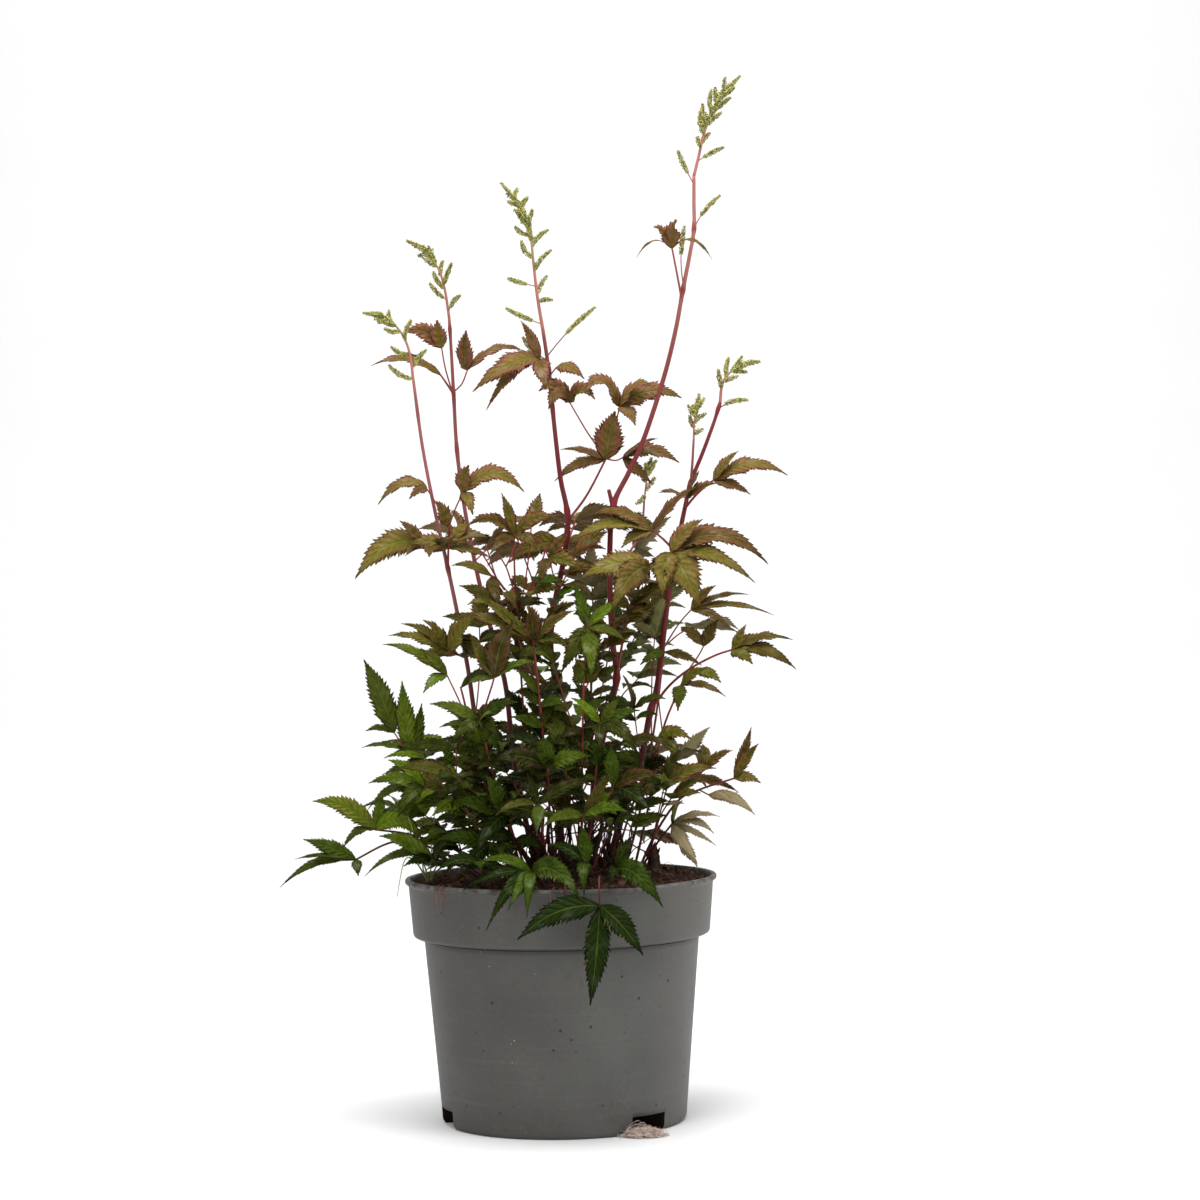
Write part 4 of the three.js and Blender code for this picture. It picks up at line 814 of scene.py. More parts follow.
# In the tables a blank line parts leaves, and a semicolon the sprays of a leaf. A spray is a stalk
# through points x y z. After a colon come its leaflets, as x y z width lean and arch (which may be
# left out), or one number: the length of the middle one of five leaflets that are made by rule.
STEM_LEAVES = """
-61 23 441, -62 18.5 445, -65 16 450, -69 14 456: -111 4 461 10 40 0.26;
-62 18.5 445, -66 16 460, -68 13 473: -90 6 481 12 60 0.3, -70 8 489 10 55;
-62 18.5 445, -56 15 450, -52 13 459: -17 2 468 11 40 0.3, -52 5 482 10 55, -58 6 469 8 40

-1 -4 453, -5 -12 460, -7 -18 462: -48 -30 441 18 50 0.3, -40 -24 430 11 40 0.4, -18 -27 484 8 50,
    -3 -36 441 11 60;
-1 -4 453, 3 -12 457: 20 -28 448 11 50 0.3

8 1 364, 20 6 380, 32 8 402: 4 6 408 8 40, 0 2 388 11 45, 38 -8 430 18 70;
32 8 402, 21 4 418, 10 -2 437: -8 -16 442 11 50 0.4, -2 -26 430 12 55 0.4, 26 -22 436 12 55 0.4;
32 8 402, 37 6 418, 41 2 434: 79 -8 437 16 45 0.3, 20 -24 440 14 50 0.5, 60 -16 444 13 50 0.4,
    50 -18 420 10 40;
32 8 402, 38 10 401, 43 10 403: 77 2 398 15 50, 60 4 386 9 35, 64 -2 413 10 40

80 -6 496, 77 -12 512, 74 -16 528: 52 -26 520 5 15 0.5, 63 -25 539 9 45 0.4, 76 -29 543 10 40 0.3,
    98 -28 518 5 15 0.5

74 14 344, 66 2 352, 59 -12 357: 22 -28 366 11 45, 10 -36 350 14 50, 40 -28 346 11 45,
    87 -20 383 10 40

36 -22 268, 40 -30 290, 46 -36 313, 57 -41 336: 15 -54 328 19 55, 33 -62 307 18 65 0.3;
57 -41 336, 64 -43 341, 70 -44 343: 89 -42 362 12 45, 127 -50 334 16 40 0.28,
    119 -58 323 12 45 0.24, 86 -64 309 22 70 0.3, 64 -64 316 15 65

80 15 371, 88 10 380, 98 6 388: 143 -4 389 15 40 0.34, 120 -2 378 10 40, 113 2 405 9 40;
80 15 371, 81 6 377: 99 -6 385 10 40, 88 -6 393 8 45, 64 -4 380 10 40

57 10 248, 68 4 262, 80 -3 272, 95 -8 280, 107 -10 284: 145 -16 271 15 45 0.26, 144 -4 289 11 40,
    115 -14 299 10 45, 118 -25 275 11 50;
80 -3 272, 86 0 280, 90 0 287: 98 -2 302 9 45, 76 4 298 9 40;
80 -3 272, 85 -8 271: 99 -18 264 9 45

-65 -12 336, -64 -20 350, -63 -24 362: -70 -36 376 10 55;
-63 -24 362, -70 -28 374, -76 -30 384: -105 -36 374 11 40 0.4, -86 -42 377 8 45 0.3;
-63 -24 362, -59 -26 372, -54 -28 382: -17 -38 380 15 45 0.45, -50 -36 397 11 50,
    -48 -41 367 9 45 0.3

-67 -13 348, -69 -17 348, -80 -20 351: -120 -30 330 19 50 0.3, -93 -22 365 9 45, -102 -6 342 10 30;
-69 -17 348, -62 -19 353: -40 -17 354 11 45, -52 -12 364 10 40

-50 20 341, -54 28 352, -60 34 358: -86 42 362 11 -30, -64 52 374 11 -35;
-50 20 341, -43 30 348: -18 44 356 12 -30, -36 58 348 12 -40, -26 34 368 10 -30

-55 -10 282, -60 -19 284, -65 -26 286: -100 -38 296 10 40, -79 -43 305 11 50, -93 -28 303 8 40,
    -47 -42 307 15 55

5 2 340, 8 16 352, 12 32 364: 42;
8 16 352, 22 30 358, 34 38 362: 36;
8 16 352, -6 28 350, -18 38 348: 34
"""
BLADE_ACROSS = np.array([-1, -0.55, 0, 0.55, 1, 0.55, 0, -0.55])
BLADE_FACES_UNDER = np.arange(8) >= 4
BLADE_THICKNESS = 0.3
WIDEST = 0.356  # where along a blade it is widest, as a share: 0.8 / (0.8 + 1.45)
TOOTH_LENGTH = 2.3
FAN_SPREAD = 58
FAN_SIDE = 0.78
# the five leaflets by rule: turn in spreads, size in side leaflets, share back down the spray
FAN = [(-1, 1, 0), (0, 1 / FAN_SIDE, 0), (1, 1, 0), (-1.15, 0.64, 0.35), (1.15, 0.64, 0.35)]
FAN_SLENDER = 0.42
FAN_DROOP = 0.22
FAN_LEAN = 40
FAN_ARCH = 0.2
TIP_ARCH = 0.18
MAIN_RADII, SIDE_RADII, THIN = (0.85, 0.6), (0.5, 0.42), 0.65  # of leaf stalks
TURNED_RIGHT_OF, TURNED_BELOW, TURNED_AGE = 74, 196, 1.2
LEAF_VALUES = ("across", "vein", "tone", "age", "thin")
FILL_SPACING = 9
FILL_SIZE = 16, 33
FILL_TURN = 45, 80
FILL_LEAN = 30, 70
FILL_SLENDER = 0.38, 0.48
FILL_ARCH = 0.15
LEAN_BACK_FROM = 25
# filling stays inside this x and z range, and out of the gaps between tiers of leaves, which
# only bare leaf stalks cross
FILL_BOX = [(-74, 56), (155, 354)]
FILL_GAPS = [
    [(-63, -4), (326, 350)], [(-75, -10), (248, 279)], [(28, 90), (0, 176)], [(-22, 34), (140, 188)],
    [(8, 48), (250, 264)], [(24, 56), (222, 238)],
]


def leaf_finish(name, dark, light, fresh, margin, vein, gloss):
    """The upper side of a blade: greens from dark to fresh in soft patches, a margin colour that
    grows with the leaf's age, paler sunken veins and swollen skin between them, and painted
    shade where the skin sinks along the veins, the midrib and the margin."""
    finish = Finish(name)
    across, line, tone, age = (finish.attribute(key) for key in ("across", "vein", "tone", "age"))
    side = abs(across)
    phase = line + finish.noise(5, detail=2) * 0.3
    nearest = abs(phase - phase.rounded())
    veins = nearest.between(0.09, 0.02) * side.between(1, 0.7) * 0.45
    veins = veins.at_least(side.between(0.07, 0.02))
    patches = finish.noise(7, detail=4, offset=2)
    pucker = finish.noise(1.7, detail=3, offset=6)
    lush = tone + patches - 0.5
    bronze = (age * (side.between(0, 1.1) * 0.85 + patches * 0.9 - 0.12)).clipped()
    swell = (nearest * 2).clipped() * side.between(0, 0.2) * side.between(1.05, 0.6)
    finish.surface(
        Base_Color=finish.layered(
            finish.mixed(lush.between(0, 0.7), dark, light),
            (lush.between(0.65, 1.2), fresh),
            (bronze, margin),
            # painted shade in the sunken skin along the veins, midrib and margin, with a random
            # darker mottle over it
            ((1 - swell) * 0.25 + pucker.between(0.45, 0.65) * 0.3, dark),
            (veins * (patches * 0.5 + 0.02), vein),
        ),
        Roughness=(gloss + patches * 0.2 + veins * 0.12).clipped(),
        Coat_Weight=patches.between(0.5, 0.68) * 0.3,
        Normal=finish.bump(swell * 0.9 - veins * 0.4 + patches * 0.3 + pucker * 0.4, 0.6),
        Specular_IOR_Level=0.03,
        Coat_Roughness=0.35,
    )
    return finish.material


def under_finish(name, pale, dull, margin):
    """The underside of a blade: pale and dull patches, a margin colour that grows with the
    leaf's age, and raised light veins."""
    finish = Finish(name)
    across, line, age = (finish.attribute(key) for key in ("across", "vein", "age"))
    nearest = abs(line - line.rounded())
    veins = (nearest.between(0.12, 0.03) * 0.6).at_least(abs(across).between(0.09, 0.03))
    soft = finish.noise(6, detail=4)
    finish.surface(
        Base_Color=finish.layered(
            finish.mixed(soft.between(0.35, 0.65), pale, dull),
            (((age - 0.4) * (soft + 0.3)).clipped(), margin),
            (veins * 0.4, (0.30, 0.26, 0.14)),
        ),
        Roughness=0.62 + soft * 0.15,
        Normal=finish.bump(veins + soft * 0.3, 0.3),
        Specular_IOR_Level=0.05,
    )
    return finish.material


def blade(rng, start, tip, width, lean, arch, tone, age):
    """A leaflet: a lens-shaped ring of 8 points carried along an arched line from start to tip.

    The half width follows share^0.8 (1 - share)^1.45, widest at a third of the length. Its edge
    steps in at each notch and leans forward at each tooth, and every third tooth is longer. The
    two halves rise from the midrib, bulge a little and ripple towards the edge."""
    length = np.linalg.norm(tip - start)
    teeth = int(np.clip(length / TOOTH_LENGTH, 8, 17))
    step = 0.9 / teeth
    k = np.arange(teeth)
    pairs = np.stack([0.06 + step * k, 0.06 + step * (k + 0.66)], 1).ravel()
    share = np.concatenate([[0, 0.03], pairs, [1]])
    toothed = np.concatenate([[0, 0], np.ones(2 * teeth), [0]])
    notch = np.concatenate([[0, 0], np.tile([1, 0], teeth), [0]])
    lobe = np.concatenate([[0, 0], np.tile([0, 1, 0, 0.2, 0, 0.1], teeth)[: 2 * teeth], [0]])
    level = np.hypot(*(tip - start)[:2])
    middle = (start + tip) / 2 + [0, 0, 1.3 * arch * level]
    t = share[:, None]
    spine = (1 - t) ** 2 * start + 2 * t * (1 - t) * middle + t**2 * tip
    along = unit(2 * (1 - t) * (middle - start) + 2 * t * (tip - middle))
    turn = np.radians(lean + rng.normal(0, 7))
    side = unit(np.cross(along, [0, -np.sin(turn), np.cos(turn)]))
    out = np.cross(side, along)
    spine = spine + side * (rng.normal(0, 0.035) * length * np.sin(np.pi * t))
    body = (np.maximum(share, 1e-6) / WIDEST) ** 0.8
    body = body * (np.maximum(1 - share, 0) / (1 - WIDEST)) ** 1.45
    half = np.maximum(width / 2 * body, 0.3 * (1 - share) + 0.03)[:, None]
    depth = toothed * (notch * rng.uniform(0.10, 0.24, len(share)) - lobe * 0.13 + 0.02)
    rim = np.abs(BLADE_ACROSS) == 1
    reach = half * BLADE_ACROSS * np.where(rim, 1 - depth[:, None], 1)
    lead = rim * (toothed * (1 - notch) * 0.65 * step * length)[:, None]
    size = np.abs(BLADE_ACROSS)
    fold, bulge, wave = rng.uniform(0.1, 0.42), rng.uniform(0.05, 0.3), rng.uniform(0.05, 0.14)
    ripple = wave * np.sin(2 * np.pi * (3.2 * t + 0.25 * BLADE_ACROSS) + rng.uniform(0, 6))
    rise = half * (fold * size - bulge * size**2 + ripple * size**2)
    under = BLADE_FACES_UNDER & ~rim
    rise = rise - under * BLADE_THICKNESS * np.minimum(half, 1) * (1 + 0.8 * (size == 0))
    grid = spine[:, None] + side[:, None] * reach[..., None]
    grid = grid + out[:, None] * rise[..., None] + along[:, None] * lead[..., None]
    vein = 0.55 * teeth * (t - 0.2 * size) + 0.5
    marks = [BLADE_ACROSS, vein, tone + rng.normal(0, 0.1), age, 0]
    return grid, np.stack([mark + 0 * vein for mark in marks], -1)


def leaflets_of(line, ends):
    """The leaflets at the end of a spray, given or by rule, as (start, tip, width, lean, arch).
    By rule the middle one points on along the spray, one stands to each side, turned by the
    spread, and a smaller pair sits lower down. Their tips hang by a share of the length."""
    before, hub = np.array(line[-2:])
    ahead = unit(hub - before)
    if len(ends[0]) > 1:
        given = [(*entry, TIP_ARCH)[:6] for entry in ends]
        return [(hub - ahead * 0.8, np.array(e[:3]), *e[3:]) for e in given]
    ahead = unit(ahead * (1, 1, 0.5))
    up = unit(np.array([0, 0, 1]) - ahead * ahead[2])
    lean = FAN_LEAN if hub[1] < 0 else -FAN_LEAN
    made = []
    for turn, size, back in FAN:
        angle = np.radians(FAN_SPREAD * turn)
        heading = ahead * np.cos(angle) + np.cross(up, ahead) * np.sin(angle)
        length = ends[0][0] * FAN_SIDE * size
        start = hub * (1 - back) + before * back
        tip = start + heading * length - [0, 0, length * FAN_DROOP]
        made.append((start, tip, length * FAN_SLENDER, lean, FAN_ARCH))
    return made


def within(place, box):
    """Whether each coordinate of the place lies between its own two limits."""
    return all(low < value < high for value, (low, high) in zip(place, box))


def filling(rng, line, first):
    """Smaller leaflets in pairs down the part of a spray that lies inside the mass of foliage,
    each turned from the spray's own heading by 45 to 80 degrees and hanging a little."""
    path = path_through(line, 8)
    reach = np.append(0, np.cumsum(np.linalg.norm(np.diff(path, axis=0), axis=1)))
    made = []
    for place in np.arange(reach[-1] * first, reach[-1] - 4, FILL_SPACING):
        k = np.searchsorted(reach, place)
        start, ahead = path[k], unit(path[k] - path[k - 1])
        seen = start[[0, 2]]
        if not within(seen, FILL_BOX) or any(within(seen, gap) for gap in FILL_GAPS):
            continue
        for way in (-1, 1):
            angle = way * np.radians(rng.uniform(*FILL_TURN))
            level = unit(ahead * (1, 1, 0.3))
            heading = level * np.cos(angle) + np.cross([0, 0, 1], level) * np.sin(angle)
            size = rng.uniform(*FILL_SIZE)
            tip = start + heading * size - [0, 0, size * rng.uniform(-0.1, 0.4)]
            lean = rng.uniform(*FILL_LEAN) * (1 if start[1] < LEAN_BACK_FROM else -1)
            made.append((start, tip, size * rng.uniform(*FILL_SLENDER), lean, FILL_ARCH))
    return made


def leaf(rng, sprays, tone_at, breadth):
    """All stalks and leaflets of one divided leaf; tone_at gives (tone, age) for a tip, and
    breadth is how much broader the blades are than their entries. Low down at the right the
    leaflets have turned over and show their undersides. Their own age value is above any other,
    so that they are the palest."""
    shells = Shells()
    for number, (line, *ends) in enumerate(sprays):
        main = number == 0
        radii, first = (MAIN_RADII, 0.45) if main else (SIDE_RADII, 0.15)
        shells.add(stalk(line, *radii, around=6)[0], 2, (0, 0, 0, 0, THIN))
        leaflets = leaflets_of(line, ends[0]) + filling(rng, line, first) if ends else []
        for start, tip, width, lean, arch in leaflets:
            turned = tip[0] > TURNED_RIGHT_OF and tip[2] < TURNED_BELOW
            tone, age = tone_at(rng, tip)
            age = TURNED_AGE if turned else age
            lean = lean + 180 * turned
            grid, values = blade(rng, start, tip, width * breadth, lean, arch, tone, age)
            shells.add(grid, np.tile(BLADE_FACES_UNDER * 1, (len(grid) - 1, 1)), values)
    return shells


def grow(table, kind, faces, tone_at, seed, breadth):
    """Makes each leaf of a table a piece, which stands for the solid of its kind and number;
    faces are the materials of the upper side and the underside."""
    for number, text in enumerate(table.split("\n\n")):
        sprays = [[entries(part) for part in spray.split(":")] for spray in text.split(";")]
        name = f"{kind}_leaf_{number + 1:02d}"
        blades = leaf(np.random.default_rng(seed + number), sprays, tone_at, breadth)
        finishes = [*faces, skin.material]
        blades.piece(name + "_blades", finishes, kind + "_foliage", name, attributes=LEAF_VALUES)


bronze_top = leaf_finish(
    "bronze blade", (0.052, 0.040, 0.005), (0.140, 0.148, 0.012), (0.170, 0.230, 0.012),
    (0.255, 0.095, 0.058), (0.30, 0.27, 0.07), 0.42,
)
bronze_under = under_finish(
    "bronze underside", (0.17, 0.13, 0.05), (0.10, 0.088, 0.025), (0.30, 0.15, 0.09)
)


BRONZE_FROM, BRONZE_RISE = 240, 170


def upper_tone(rng, tip):
    """Freshness at random, and an age that grows evenly with height and brings the bronze."""
    age = (tip[2] - BRONZE_FROM) / BRONZE_RISE
    return rng.uniform(0.1, 0.75), float(np.clip(age, 0.15, 1.05))


grow(STEM_LEAVES, "stem", (bronze_top, bronze_under), upper_tone, seed=200, breadth=1.1)

# ---------------------------------------------------------------- leaves from the crown
# The same divided leaves on longer stalks from the rootstock: dark glossy green low down with
# some fresh yellow-green young ones, olive and edged with bronze where they reach the light.
BASAL_LEAVES = """
34 10 133, 48 18 180, 57 22 225, 62 23 255, 66 22 286: 50 30 304 11 -30;
66 22 286, 75 12 300, 83 7 309: 118 0 317 8 35, 133 -4 304 10 40, 98 6 323 9 45, 106 -10 297 10 45;
66 22 286, 76 30 294, 86 38 298: 36;
57 22 225, 58 16 268, 60 14 292: 36

40 -6 133, 54 -14 190, 63 -20 235, 75 -24 264: 90 -34 273 11 45, 101 -38 256 10 40,
    72 -43 248 12 60;
63 -20 235, 61 -28 260, 65 -31 284: 87 -36 275 10 40, 50 -42 276 11 45;
56 -15 200, 58 -26 222, 61 -30 234: 80 -36 231 12 50 0.3, 72 -44 220 12 55;
54 -14 190, 48 -26 232, 46 -32 250: 34

-10 -10 133, -15 -20 180, -20 -28 245, -22 -30 290, -24 -30 330, -24 -30 356:
    -52 -42 360 15 50 0.3, 1 -42 364 15 50 0.3, -38 -49 343 12 55, -31 -36 380 9 50,
    -10 -50 345 12 55;
-23 -30 310, -32 -35 322, -38 -38 331: -61 -47 337 11 45, -32 -53 311 12 50;
-22 -30 304, -12 -36 326, -3 -40 341: 16 -54 333 14 50, -9 -54 326 11 50, 8 -46 354 11 45;
-21 -29 270, -2 -24 312, 12 -16 342: 32;
-22 -30 304, -16 -20 340, -14 -16 360: 30;
-19 -30 316, -13 -32 327, -8 -34 338, -5.5 -34 346, -9 -33 351, -14 -32 356;
-17 -27 318, -10.5 -24 328, -3 -18 337, 5 -8 347;
-10 -22 315, -13 -24 326, -17 -28 338, -20.5 -30 348, -23 -30 355;
0.5 -16 323, -2.5 -24 337, -6 -33 348;
-30 -36 322, -35 -38 330, -38.5 -40 342, -41 -41 350;
-35 -38 330, -40 -38 339, -45 -38 347;
-24 -34 320, -27 -36 330, -29 -38 336, -34 -40 345, -36 -40 350;
-29 -38 336, -26 -38 342, -23 -37 350;
-48 2 335, -36 -30 330, -30 -36 323, -26 -34 319, -21 -30 315

-20 -14 133, -38 -30 190, -50 -40 235, -57 -44 265: -36 -53 271 10 40 0.3;
-50 -40 235, -57 -48 255, -65 -50 273: -102 -58 291 11 45, -80 -58 288 10 45, -78 -64 262 11 50;
-50 -40 235, -46 -30 274, -46 -24 300: 34

-24 -22 133, -40 -50 190, -45 -58 237, -36 -64 271: -53 -71 266 9 40, -24 -74 303 19 75,
    -10 -73 279 11 45, -50 -68 297 12 55

-2 -20 133, -6 -40 200, -10 -54 260, -13 -58 292: -61 -62 308 12 45, -47 -57 320 11 45,
    -16 -75 313 16 60, 12 -70 309 14 50, 8 -76 287 12 55;
-6 -40 200, -22 -46 226, -30 -50 230: 33;
-10 -54 260, -22 -46 292, -32 -42 310: 36;
-8 -46 224, -12 -40 268, -14 -38 288: 32

12 -22 133, 14 -42 200, 16 -52 260, 19 -56 300: 21 -75 268 16 70 0.3, 3 -66 272 16 65 0.3,
    42 -68 290 12 50, 43 -56 314 11 45, 12 -60 324 11 50;
14 -42 200, 28 -46 226, 38 -48 229: 32;
16 -52 260, 34 -44 296, 46 -40 312: 40;
15 -46 220, 4 -40 258, -2 -38 278: 32

14 -26 133, 20 -56 190, 26 -66 243: 9 -76 258 11 50, 37 -78 257 11 50, 49 -72 250 11 45,
    47 -83 226 15 65 0.3, 26 -86 226 12 65 0.3;
20 -56 190, 4 -60 214, -4 -60 224: 36

-16 -24 133, -32 -56 190, -45 -68 246: -74 -75 256 14 50, -34 -82 236 12 60 0.3, -22 -75 256 11 45,
    -61 -83 233 14 60 0.3;
-32 -56 190, -50 -60 204, -60 -62 212: 38

-28 -4 133, -55 -10 180, -78 -16 212, -90 -18 226: -93 -26 269 16 80, -82 -20 255 11 70,
    -62 -22 226 12 45 0.35, -118 -30 229 10 40;
-90 -18 226, -95 -20 232, -99 -20 238: -116 -24 282 19 80, -115 -30 239 10 45;
-55 -10 180, -50 -14 214, -50 -18 227: 32

-26 -16 133, -48 -30 178, -66 -40 200, -80 -44 205: -112 -54 209 16 50, -101 -43 222 11 45,
    -113 -52 193 12 50 0.3, -94 -62 189 14 55 0.3;
-56 -35 188, -60 -44 210, -60 -48 228: -96 -52 227 11 65, -40 -56 238 11 50;
-56 -35 188, -56 -47 197: -74 -68 190 15 60, -42 -66 202 15 60;
-66 -40 200, -74 -30 214, -80 -26 222: 36

-30 2 133, -60 2 162, -90 0 174, -113 -2 178: -150 -8 196 17 65, -108 -4 200 11 65,
    -132 -12 167 11 40 0.3, -82 -18 170 16 60 0.4;
-60 2 162, -70 -6 177, -82 -10 187: -105 -20 190 15 50, -82 -30 204 14 60;
-60 2 162, -62 -16 172, -66 -26 176: 34

-28 10 133, -62 18 156, -90 20 168, -106 18 168, -127 16 158: -158 10 172 14 60 0.1,
    -163 5 160 8 35 0.1, -173 9 142 10 45 0.2, -124 6 149 9 45;
-90 20 168, -96 30 180, -100 38 188: 34

-30 -14 133, -56 -28 155, -77 -38 163: -116 -46 153 9 35 0.25, -107 -44 177 14 65,
    -92 -58 160 11 50, -64 -60 173 15 60

-12 -26 133, -24 -50 168, -30 -60 190: -49 -79 166 16 60 0.35, -64 -72 198 15 55,
    -20 -84 206 15 60, -42 -82 214 15 65;
-24 -50 168, -42 -58 172: -72 -74 176 15 55, -59 -84 154 14 60;
-24 -50 168, -8 -54 176, 0 -56 182: 36

-2 -28 133, -8 -58 168, -11 -78 197: -17 -86 215 10 60, 22 -92 211 11 55, -36 -92 191 12 50,
    -12 -98 181 12 60;
-8 -58 168, -5 -62 200, -6 -66 218: -38 -78 222 16 60, 20 -78 224 15 60, -8 -88 236 15 70;
-8 -58 168, -22 -60 200, -30 -58 214: 36

8 -28 133, 12 -60 168, 15 -76 190: 33 -87 215 9 60, 41 -94 192 14 50, -9 -95 184 11 50;
12 -60 168, 26 -64 190, 33 -66 206: 60 -76 212 15 55, 32 -86 230 12 65, 54 -86 192 15 60;
12 -60 168, 6 -56 200, 4 -54 222: 38

-6 -28 133, -12 -56 151, -15.5 -86 157.5: -46 -88 164 10 50, 13 -107 143 18 65 0.4,
    -29 -109 138 12 65 0.3, -42 -108 126 11 65 0.4, -18 -112 133 10 65 0.4, -55 -100 149 10 55 0.2;
-12 -56 151, -34 -70 159, -46 -79 163: 30

18 -26 133, 17 -58 152, 16.5 -84 162: 15 -108 145 12 65 0.4, 14 -96 185 12 70, -6 -96 174 11 55;
17 -58 152, 27 -72 157, 34 -84 159: 60 -109 138 19 65 0.35, 30 -104 153 9 60, 43 -94 178 11 65;
17 -58 152, 26 -60 170, 30 -62 182: 30

25 -24 133, 24 -60 148, 23.5 -92 155, 23.5 -104 150, 23.5 -107 139: -24 -111 121 20 80 0.1,
    17 -111 83 19 85 0, 48 -111 111 18 80 0.15

40 4 133, 57 2 170, 72 -2 192, 85 -6 199, 107 -10 206: 117 -14 237 9 60, 121 -20 227 9 55,
    122 -16 203 10 60;
85 -6 199, 91 -13 196: 118 -24 184 12 50, 104 -30 192 10 50;
72 -2 192, 81 -10 205, 89 -14 212: 105 -22 223 11 50, 80 -32 224 12 55, 88 6 226 11 30;
57 2 170, 66 8 200, 72 10 216: 36

38 -14 133, 54 -25 162, 68 -31 181: 96 -44 185 10 45, 92 -46 175 9 45, 94 -34 167 7 40,
    82 -54 158 12 60, 74 -54 196 12 55;
54 -25 162, 59 -40 186, 63 -46 204: 94 -52 214 14 50, 72 -60 226 14 60, 62 -70 208 15 60,
    42 -56 214 12 50;
54 -25 162, 42 -44 172, 46 -50 190: 30;
54 -25 162, 60 -36 184, 67 -40 196: 30;
68 -31 181, 71 -33 173, 72 -34 168: 82 -40 155 10 60 0.25

-22 12 133, -44 40 185, -56 56 212: 40;
-44 40 185, -62 44 198, -76 46 206: 38;
-44 40 185, -42 60 192, -44 76 194: 38

-8 20 133, -16 48 190, -21 64 232: 42;
-16 48 190, -33 57 226, -45 63 239: 34;
-16 48 190, -8 72 206, -6 86 210: 38

6 24 133, 14 60 170, 20 84 178: 42;
14 60 170, -4 76 166, -20 86 160: 38;
14 60 170, 38 72 170, 52 80 166: 38

26 20 133, 46 44 190, 58 58 218: 36;
46 44 190, 66 44 206, 78 44 204: 34;
46 44 190, 42 66 210, 38 78 220: 38

14 16 133, 20 34 210, 20 44 280: 40;
20 34 210, 2 46 250, -12 56 270: 38;
20 34 210, 36 44 250, 50 54 266: 38;
20 38 240, 22 34 300, 22 30 324: 36;
20 36 230, 44 30 284, 56 24 306: 42;
20 36 226, 40 30 320, 50 28 346: 36
"""
# the leaflets whose tips lie within reach of these places (x, z) are young
YOUNG = np.array([
    (-62, 226), (-82, 170), (-49, 166), (41, 192), (-42, 126), (-29, 138), (-18, 133), (13, 143),
    (60, 138), (15, 145), (-24, 121), (-101, 222), (12, 324), (-10, 279), (43, 314), (50, 250),
    (-74, 190), (-82, 204), (9, 258), (-46, 164),
])
YOUNG_REACH = 7
MIDDLE_HALF = 60
OVER_LIP = 142
FRONT_FROM, FRONT_TOP = -50, 178
FRESH_ABOVE, AGED_ABOVE = 240, 265

green_top = leaf_finish(
    "green blade", (0.010, 0.019, 0.003), (0.056, 0.092, 0.007), (0.125, 0.190, 0.009),
    (0.23, 0.085, 0.036), (0.18, 0.24, 0.02), 0.34,
)
green_under = under_finish(
    "green underside", (0.12, 0.13, 0.035), (0.050, 0.062, 0.010), (0.38, 0.28, 0.17)
)


def lower_tone(rng, tip):
    """Freshness: any, plus more for young leaflets, above 240 mm and away from the middle, and
    less for the front ones over the lip and some in the middle, which stand in their own shade.
    Age: a little at random but not on the front ones, more above 265 mm and beyond 60 mm to the
    right, none for young leaflets."""
    x, y, z = tip
    young = np.hypot(*(YOUNG - (x, z)).T).min() < YOUNG_REACH
    outside = np.clip((abs(x) - MIDDLE_HALF) / 60, 0, 0.5) * 0.75
    front = z < OVER_LIP or (y < FRONT_FROM and z < FRONT_TOP)
    worn = (rng.uniform(0, 0.18) + 0.25 * (rng.uniform() < 0.13)) * (not front)
    age = worn + max((z - AGED_ABOVE) / 105, (x - MIDDLE_HALF) / 45, 0)
    shaded = 0.3 * (abs(x) < 50 and rng.uniform() < 0.4) + 0.4 * front
    tone = rng.uniform(-0.1, 0.75) + outside + 0.6 * young + 0.15 * (z > FRESH_ABOVE) - shaded
    return tone, float(np.clip(age, 0, 0.9)) * (not young)


grow(BASAL_LEAVES, "basal", (green_top, green_under), lower_tone, seed=300, breadth=0.82)

# the thin dark stalks of small inner leaves rise in a sheaf from the rootstock into the foliage
INNER_STALKS = 20
rng = np.random.default_rng(33)
places = rng.uniform((-16, -24), (44, 12), (INNER_STALKS, 2))
feet = np.column_stack([places * 0.6 + (6, 0), np.full(INNER_STALKS, SOIL_TOP - 3)])
spread = places * 1.3 + rng.normal(0, 5, (INNER_STALKS, 2))
heads = np.column_stack([spread, rng.uniform(186, 214, INNER_STALKS)])
sheaf = Shells()
sheaf.add(strands(rng, feet, heads, 0, 0.8, around=6))
sheaf.piece("inner_leaf_stalks", [skin.material], "stalk")

# ---------------------------------------------------------------- grass
# Thin blades of young grass, a weed that has seeded itself at the left of the pot. They share one
# root in the soil, and some bend out over the lip.
GRASS_ROOT = [-79, -9, 143]
GRASS_LINES = [
    "-78 -12 165, -75 -13 193",
    "-87 -12 158, -94 -14 160, -99 -16 138",
    "-83 -14 157, -73 -20 168",
    "-82 -11 155, -88 -14 176, -92 -16 188",
    "-76 -15 154, -70 -20 160, -66 -23 152",
]
straw = Finish("young grass")
straw_tone = straw.noise(20, detail=2).between(0.3, 0.7)
straw.surface(
    Base_Color=straw.mixed(straw_tone, (0.12, 0.20, 0.04), (0.33, 0.38, 0.13)),
    Roughness=0.5 + straw.noise(2) * 0.2,
    Normal=straw.bump(straw.noise(0.6, place=straw.stretched(1, 1, 0.1)), 0.12),
)
grass = Shells()
for line in GRASS_LINES:
    path = path_through([GRASS_ROOT, *entries(line)], 8)
    ring = tube(path, np.linspace(0.62, 0.2, len(path)), 6)
    grass.add(path[:, None] + (ring - path[:, None]) * (1, 0.45, 1))
grass.piece("grass_tuft", [straw.material], "grass", "grass_blades")

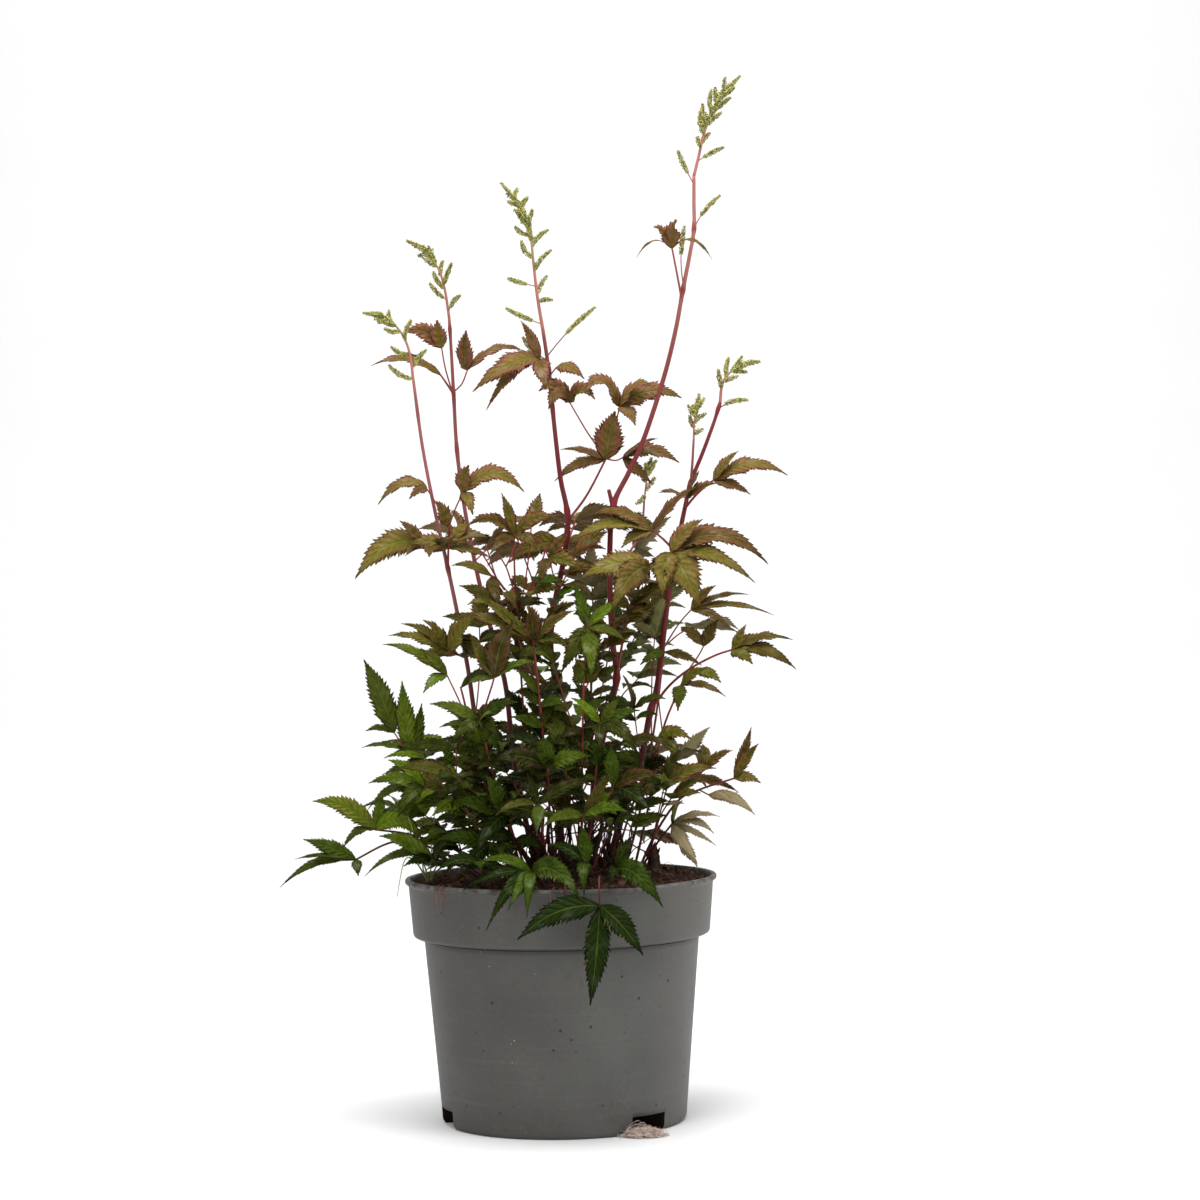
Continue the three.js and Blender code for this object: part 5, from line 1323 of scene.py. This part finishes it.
# ---------------------------------------------------------------- coir in the foot notch
# A wad of light coconut fibre, the drainage plug, has worked out through the front notch and lies
# on the ground under it.
TUFT_MIDDLE = np.array([47, -66, 0])
TUFT_RADII = np.array([14, 8.5, 2.5])
FIBRES = 620
coir = Finish("coconut fibre")
coir_tone = coir.noise(3, detail=5, roughness=0.7)
coir.surface(
    Base_Color=coir.mixed(coir_tone.between(0.25, 0.75), (0.22, 0.13, 0.095), (0.95, 0.80, 0.70)),
    Roughness=0.85 + coir_tone * 0.1,
    Normal=coir.bump(coir_tone, 0.8),
)
rng = np.random.default_rng(7)
dome = ball(np.linspace(2, 84, 12), full_turn(40))
dome = dome * rng.uniform(0.72, 0.95, dome.shape[:2] + (1,)) * (TUFT_RADII - (1, 1, 1.4))
tuft = Shells()
tuft.add(TUFT_MIDDLE + dome + (0, 0, 0.15))
turn = rng.uniform(0, 2 * np.pi, (2, FIBRES))
spread = np.sqrt(rng.uniform(0, 1, (2, FIBRES))) * np.array([[0.95], [1.45]])
rise = 0.4 + 3.4 * np.sqrt(np.maximum(1 - spread**2, 0)) * rng.uniform(0.3, 1, (2, FIBRES))
ends = TUFT_MIDDLE + about(turn, TUFT_RADII[0] * spread, TUFT_RADII[1] * spread, rise)
hairs = strands(rng, ends[0], ends[0] + (ends[1] - ends[0]) * 0.6, -0.3, 0.2)
# a hair that would reach into the ground is lifted onto it
hairs[..., 2] += np.maximum(0.1 - hairs[..., 2].min((1, 2)), 0)[:, None, None]
tuft.add(hairs)
tuft.piece("coir_wad", [coir.material], "coir_fibre", "fibre_tuft")

# ---------------------------------------------------------------- studio
# A white sweep that rises behind the plant, broad soft lights in front of it, to its right and over
# it, one more for the sweep, and a long lens a little above the pot.
FLOOR_HALF = 4.0
SWEEP_START = 1.8
SWEEP_RADIUS = 1.2
bend = np.linspace(0, np.pi / 2, 24)
sweep_end = SWEEP_START + SWEEP_RADIUS
sweep_y = np.concatenate([[-FLOOR_HALF], SWEEP_START + SWEEP_RADIUS * np.sin(bend), [sweep_end]])
sweep_z = np.concatenate([[0], SWEEP_RADIUS * (1 - np.cos(bend)), [FLOOR_HALF]])
sweep_points = [(x, y, z) for x in (-FLOOR_HALF, FLOOR_HALF) for y, z in zip(sweep_y, sweep_z)]
rows = len(sweep_y)
sweep_faces = [(k, k + rows, k + rows + 1, k + 1) for k in range(rows - 1)]
backdrop_mesh = bpy.data.meshes.new("backdrop")
backdrop_mesh.from_pydata(sweep_points, [], sweep_faces)
backdrop_mesh.shade_smooth()
backdrop = placed("backdrop", backdrop_mesh)
paper = Finish("white paper sweep")
paper.surface(
    Base_Color=paper.mixed(paper.noise(200), (0.74, 0.74, 0.74), (0.77, 0.77, 0.77)),
    Roughness=0.9 + paper.noise(3) * 0.05,
)
backdrop_mesh.materials.append(paper.material)

world = bpy.data.worlds.new("studio air")
bpy.context.scene.world = world
world.use_nodes = True
air = world.node_tree.nodes["Background"].inputs
air["Color"].default_value = (1, 1, 1, 1)
air["Strength"].default_value = 0.36


def soft_light(name, place, aim, size, power):
    """A square lamp at a place in metres that faces the aim."""
    lamp = bpy.data.lights.new(name, "AREA")
    lamp.size = size
    lamp.energy = power
    thing = placed(name, lamp)
    thing.location = place
    thing.rotation_euler = (Vector(aim) - Vector(place)).to_track_quat("-Z", "Y").to_euler()


PLANT_MIDDLE = (0, 0, 0.25)
soft_light("front soft box", (-0.9, -2.0, 1.6), PLANT_MIDDLE, 1.2, 21)
soft_light("right soft box", (1.9, -1.2, 1.2), PLANT_MIDDLE, 1.0, 20)
soft_light("top soft box", (0, -0.5, 2.2), (0, 0, 0.1), 1.0, 34)
soft_light("background light", (0, 0.6, 2.4), (0, 3.0, 0.3), 2.0, 60)

CAMERA_PLACE = (0.0266, -1.735, 0.303)
CAMERA_TURN = np.radians([90.41, 1.0, 0])
lens = bpy.data.cameras.new("camera")
lens.lens = 85.3
lens.sensor_width = 36
lens.clip_start = 0.05
lens.clip_end = 60
camera = placed("camera", lens)
camera.location = CAMERA_PLACE
camera.rotation_euler = CAMERA_TURN
bpy.context.scene.camera = camera
bpy.context.scene.view_settings.view_transform = "Standard"
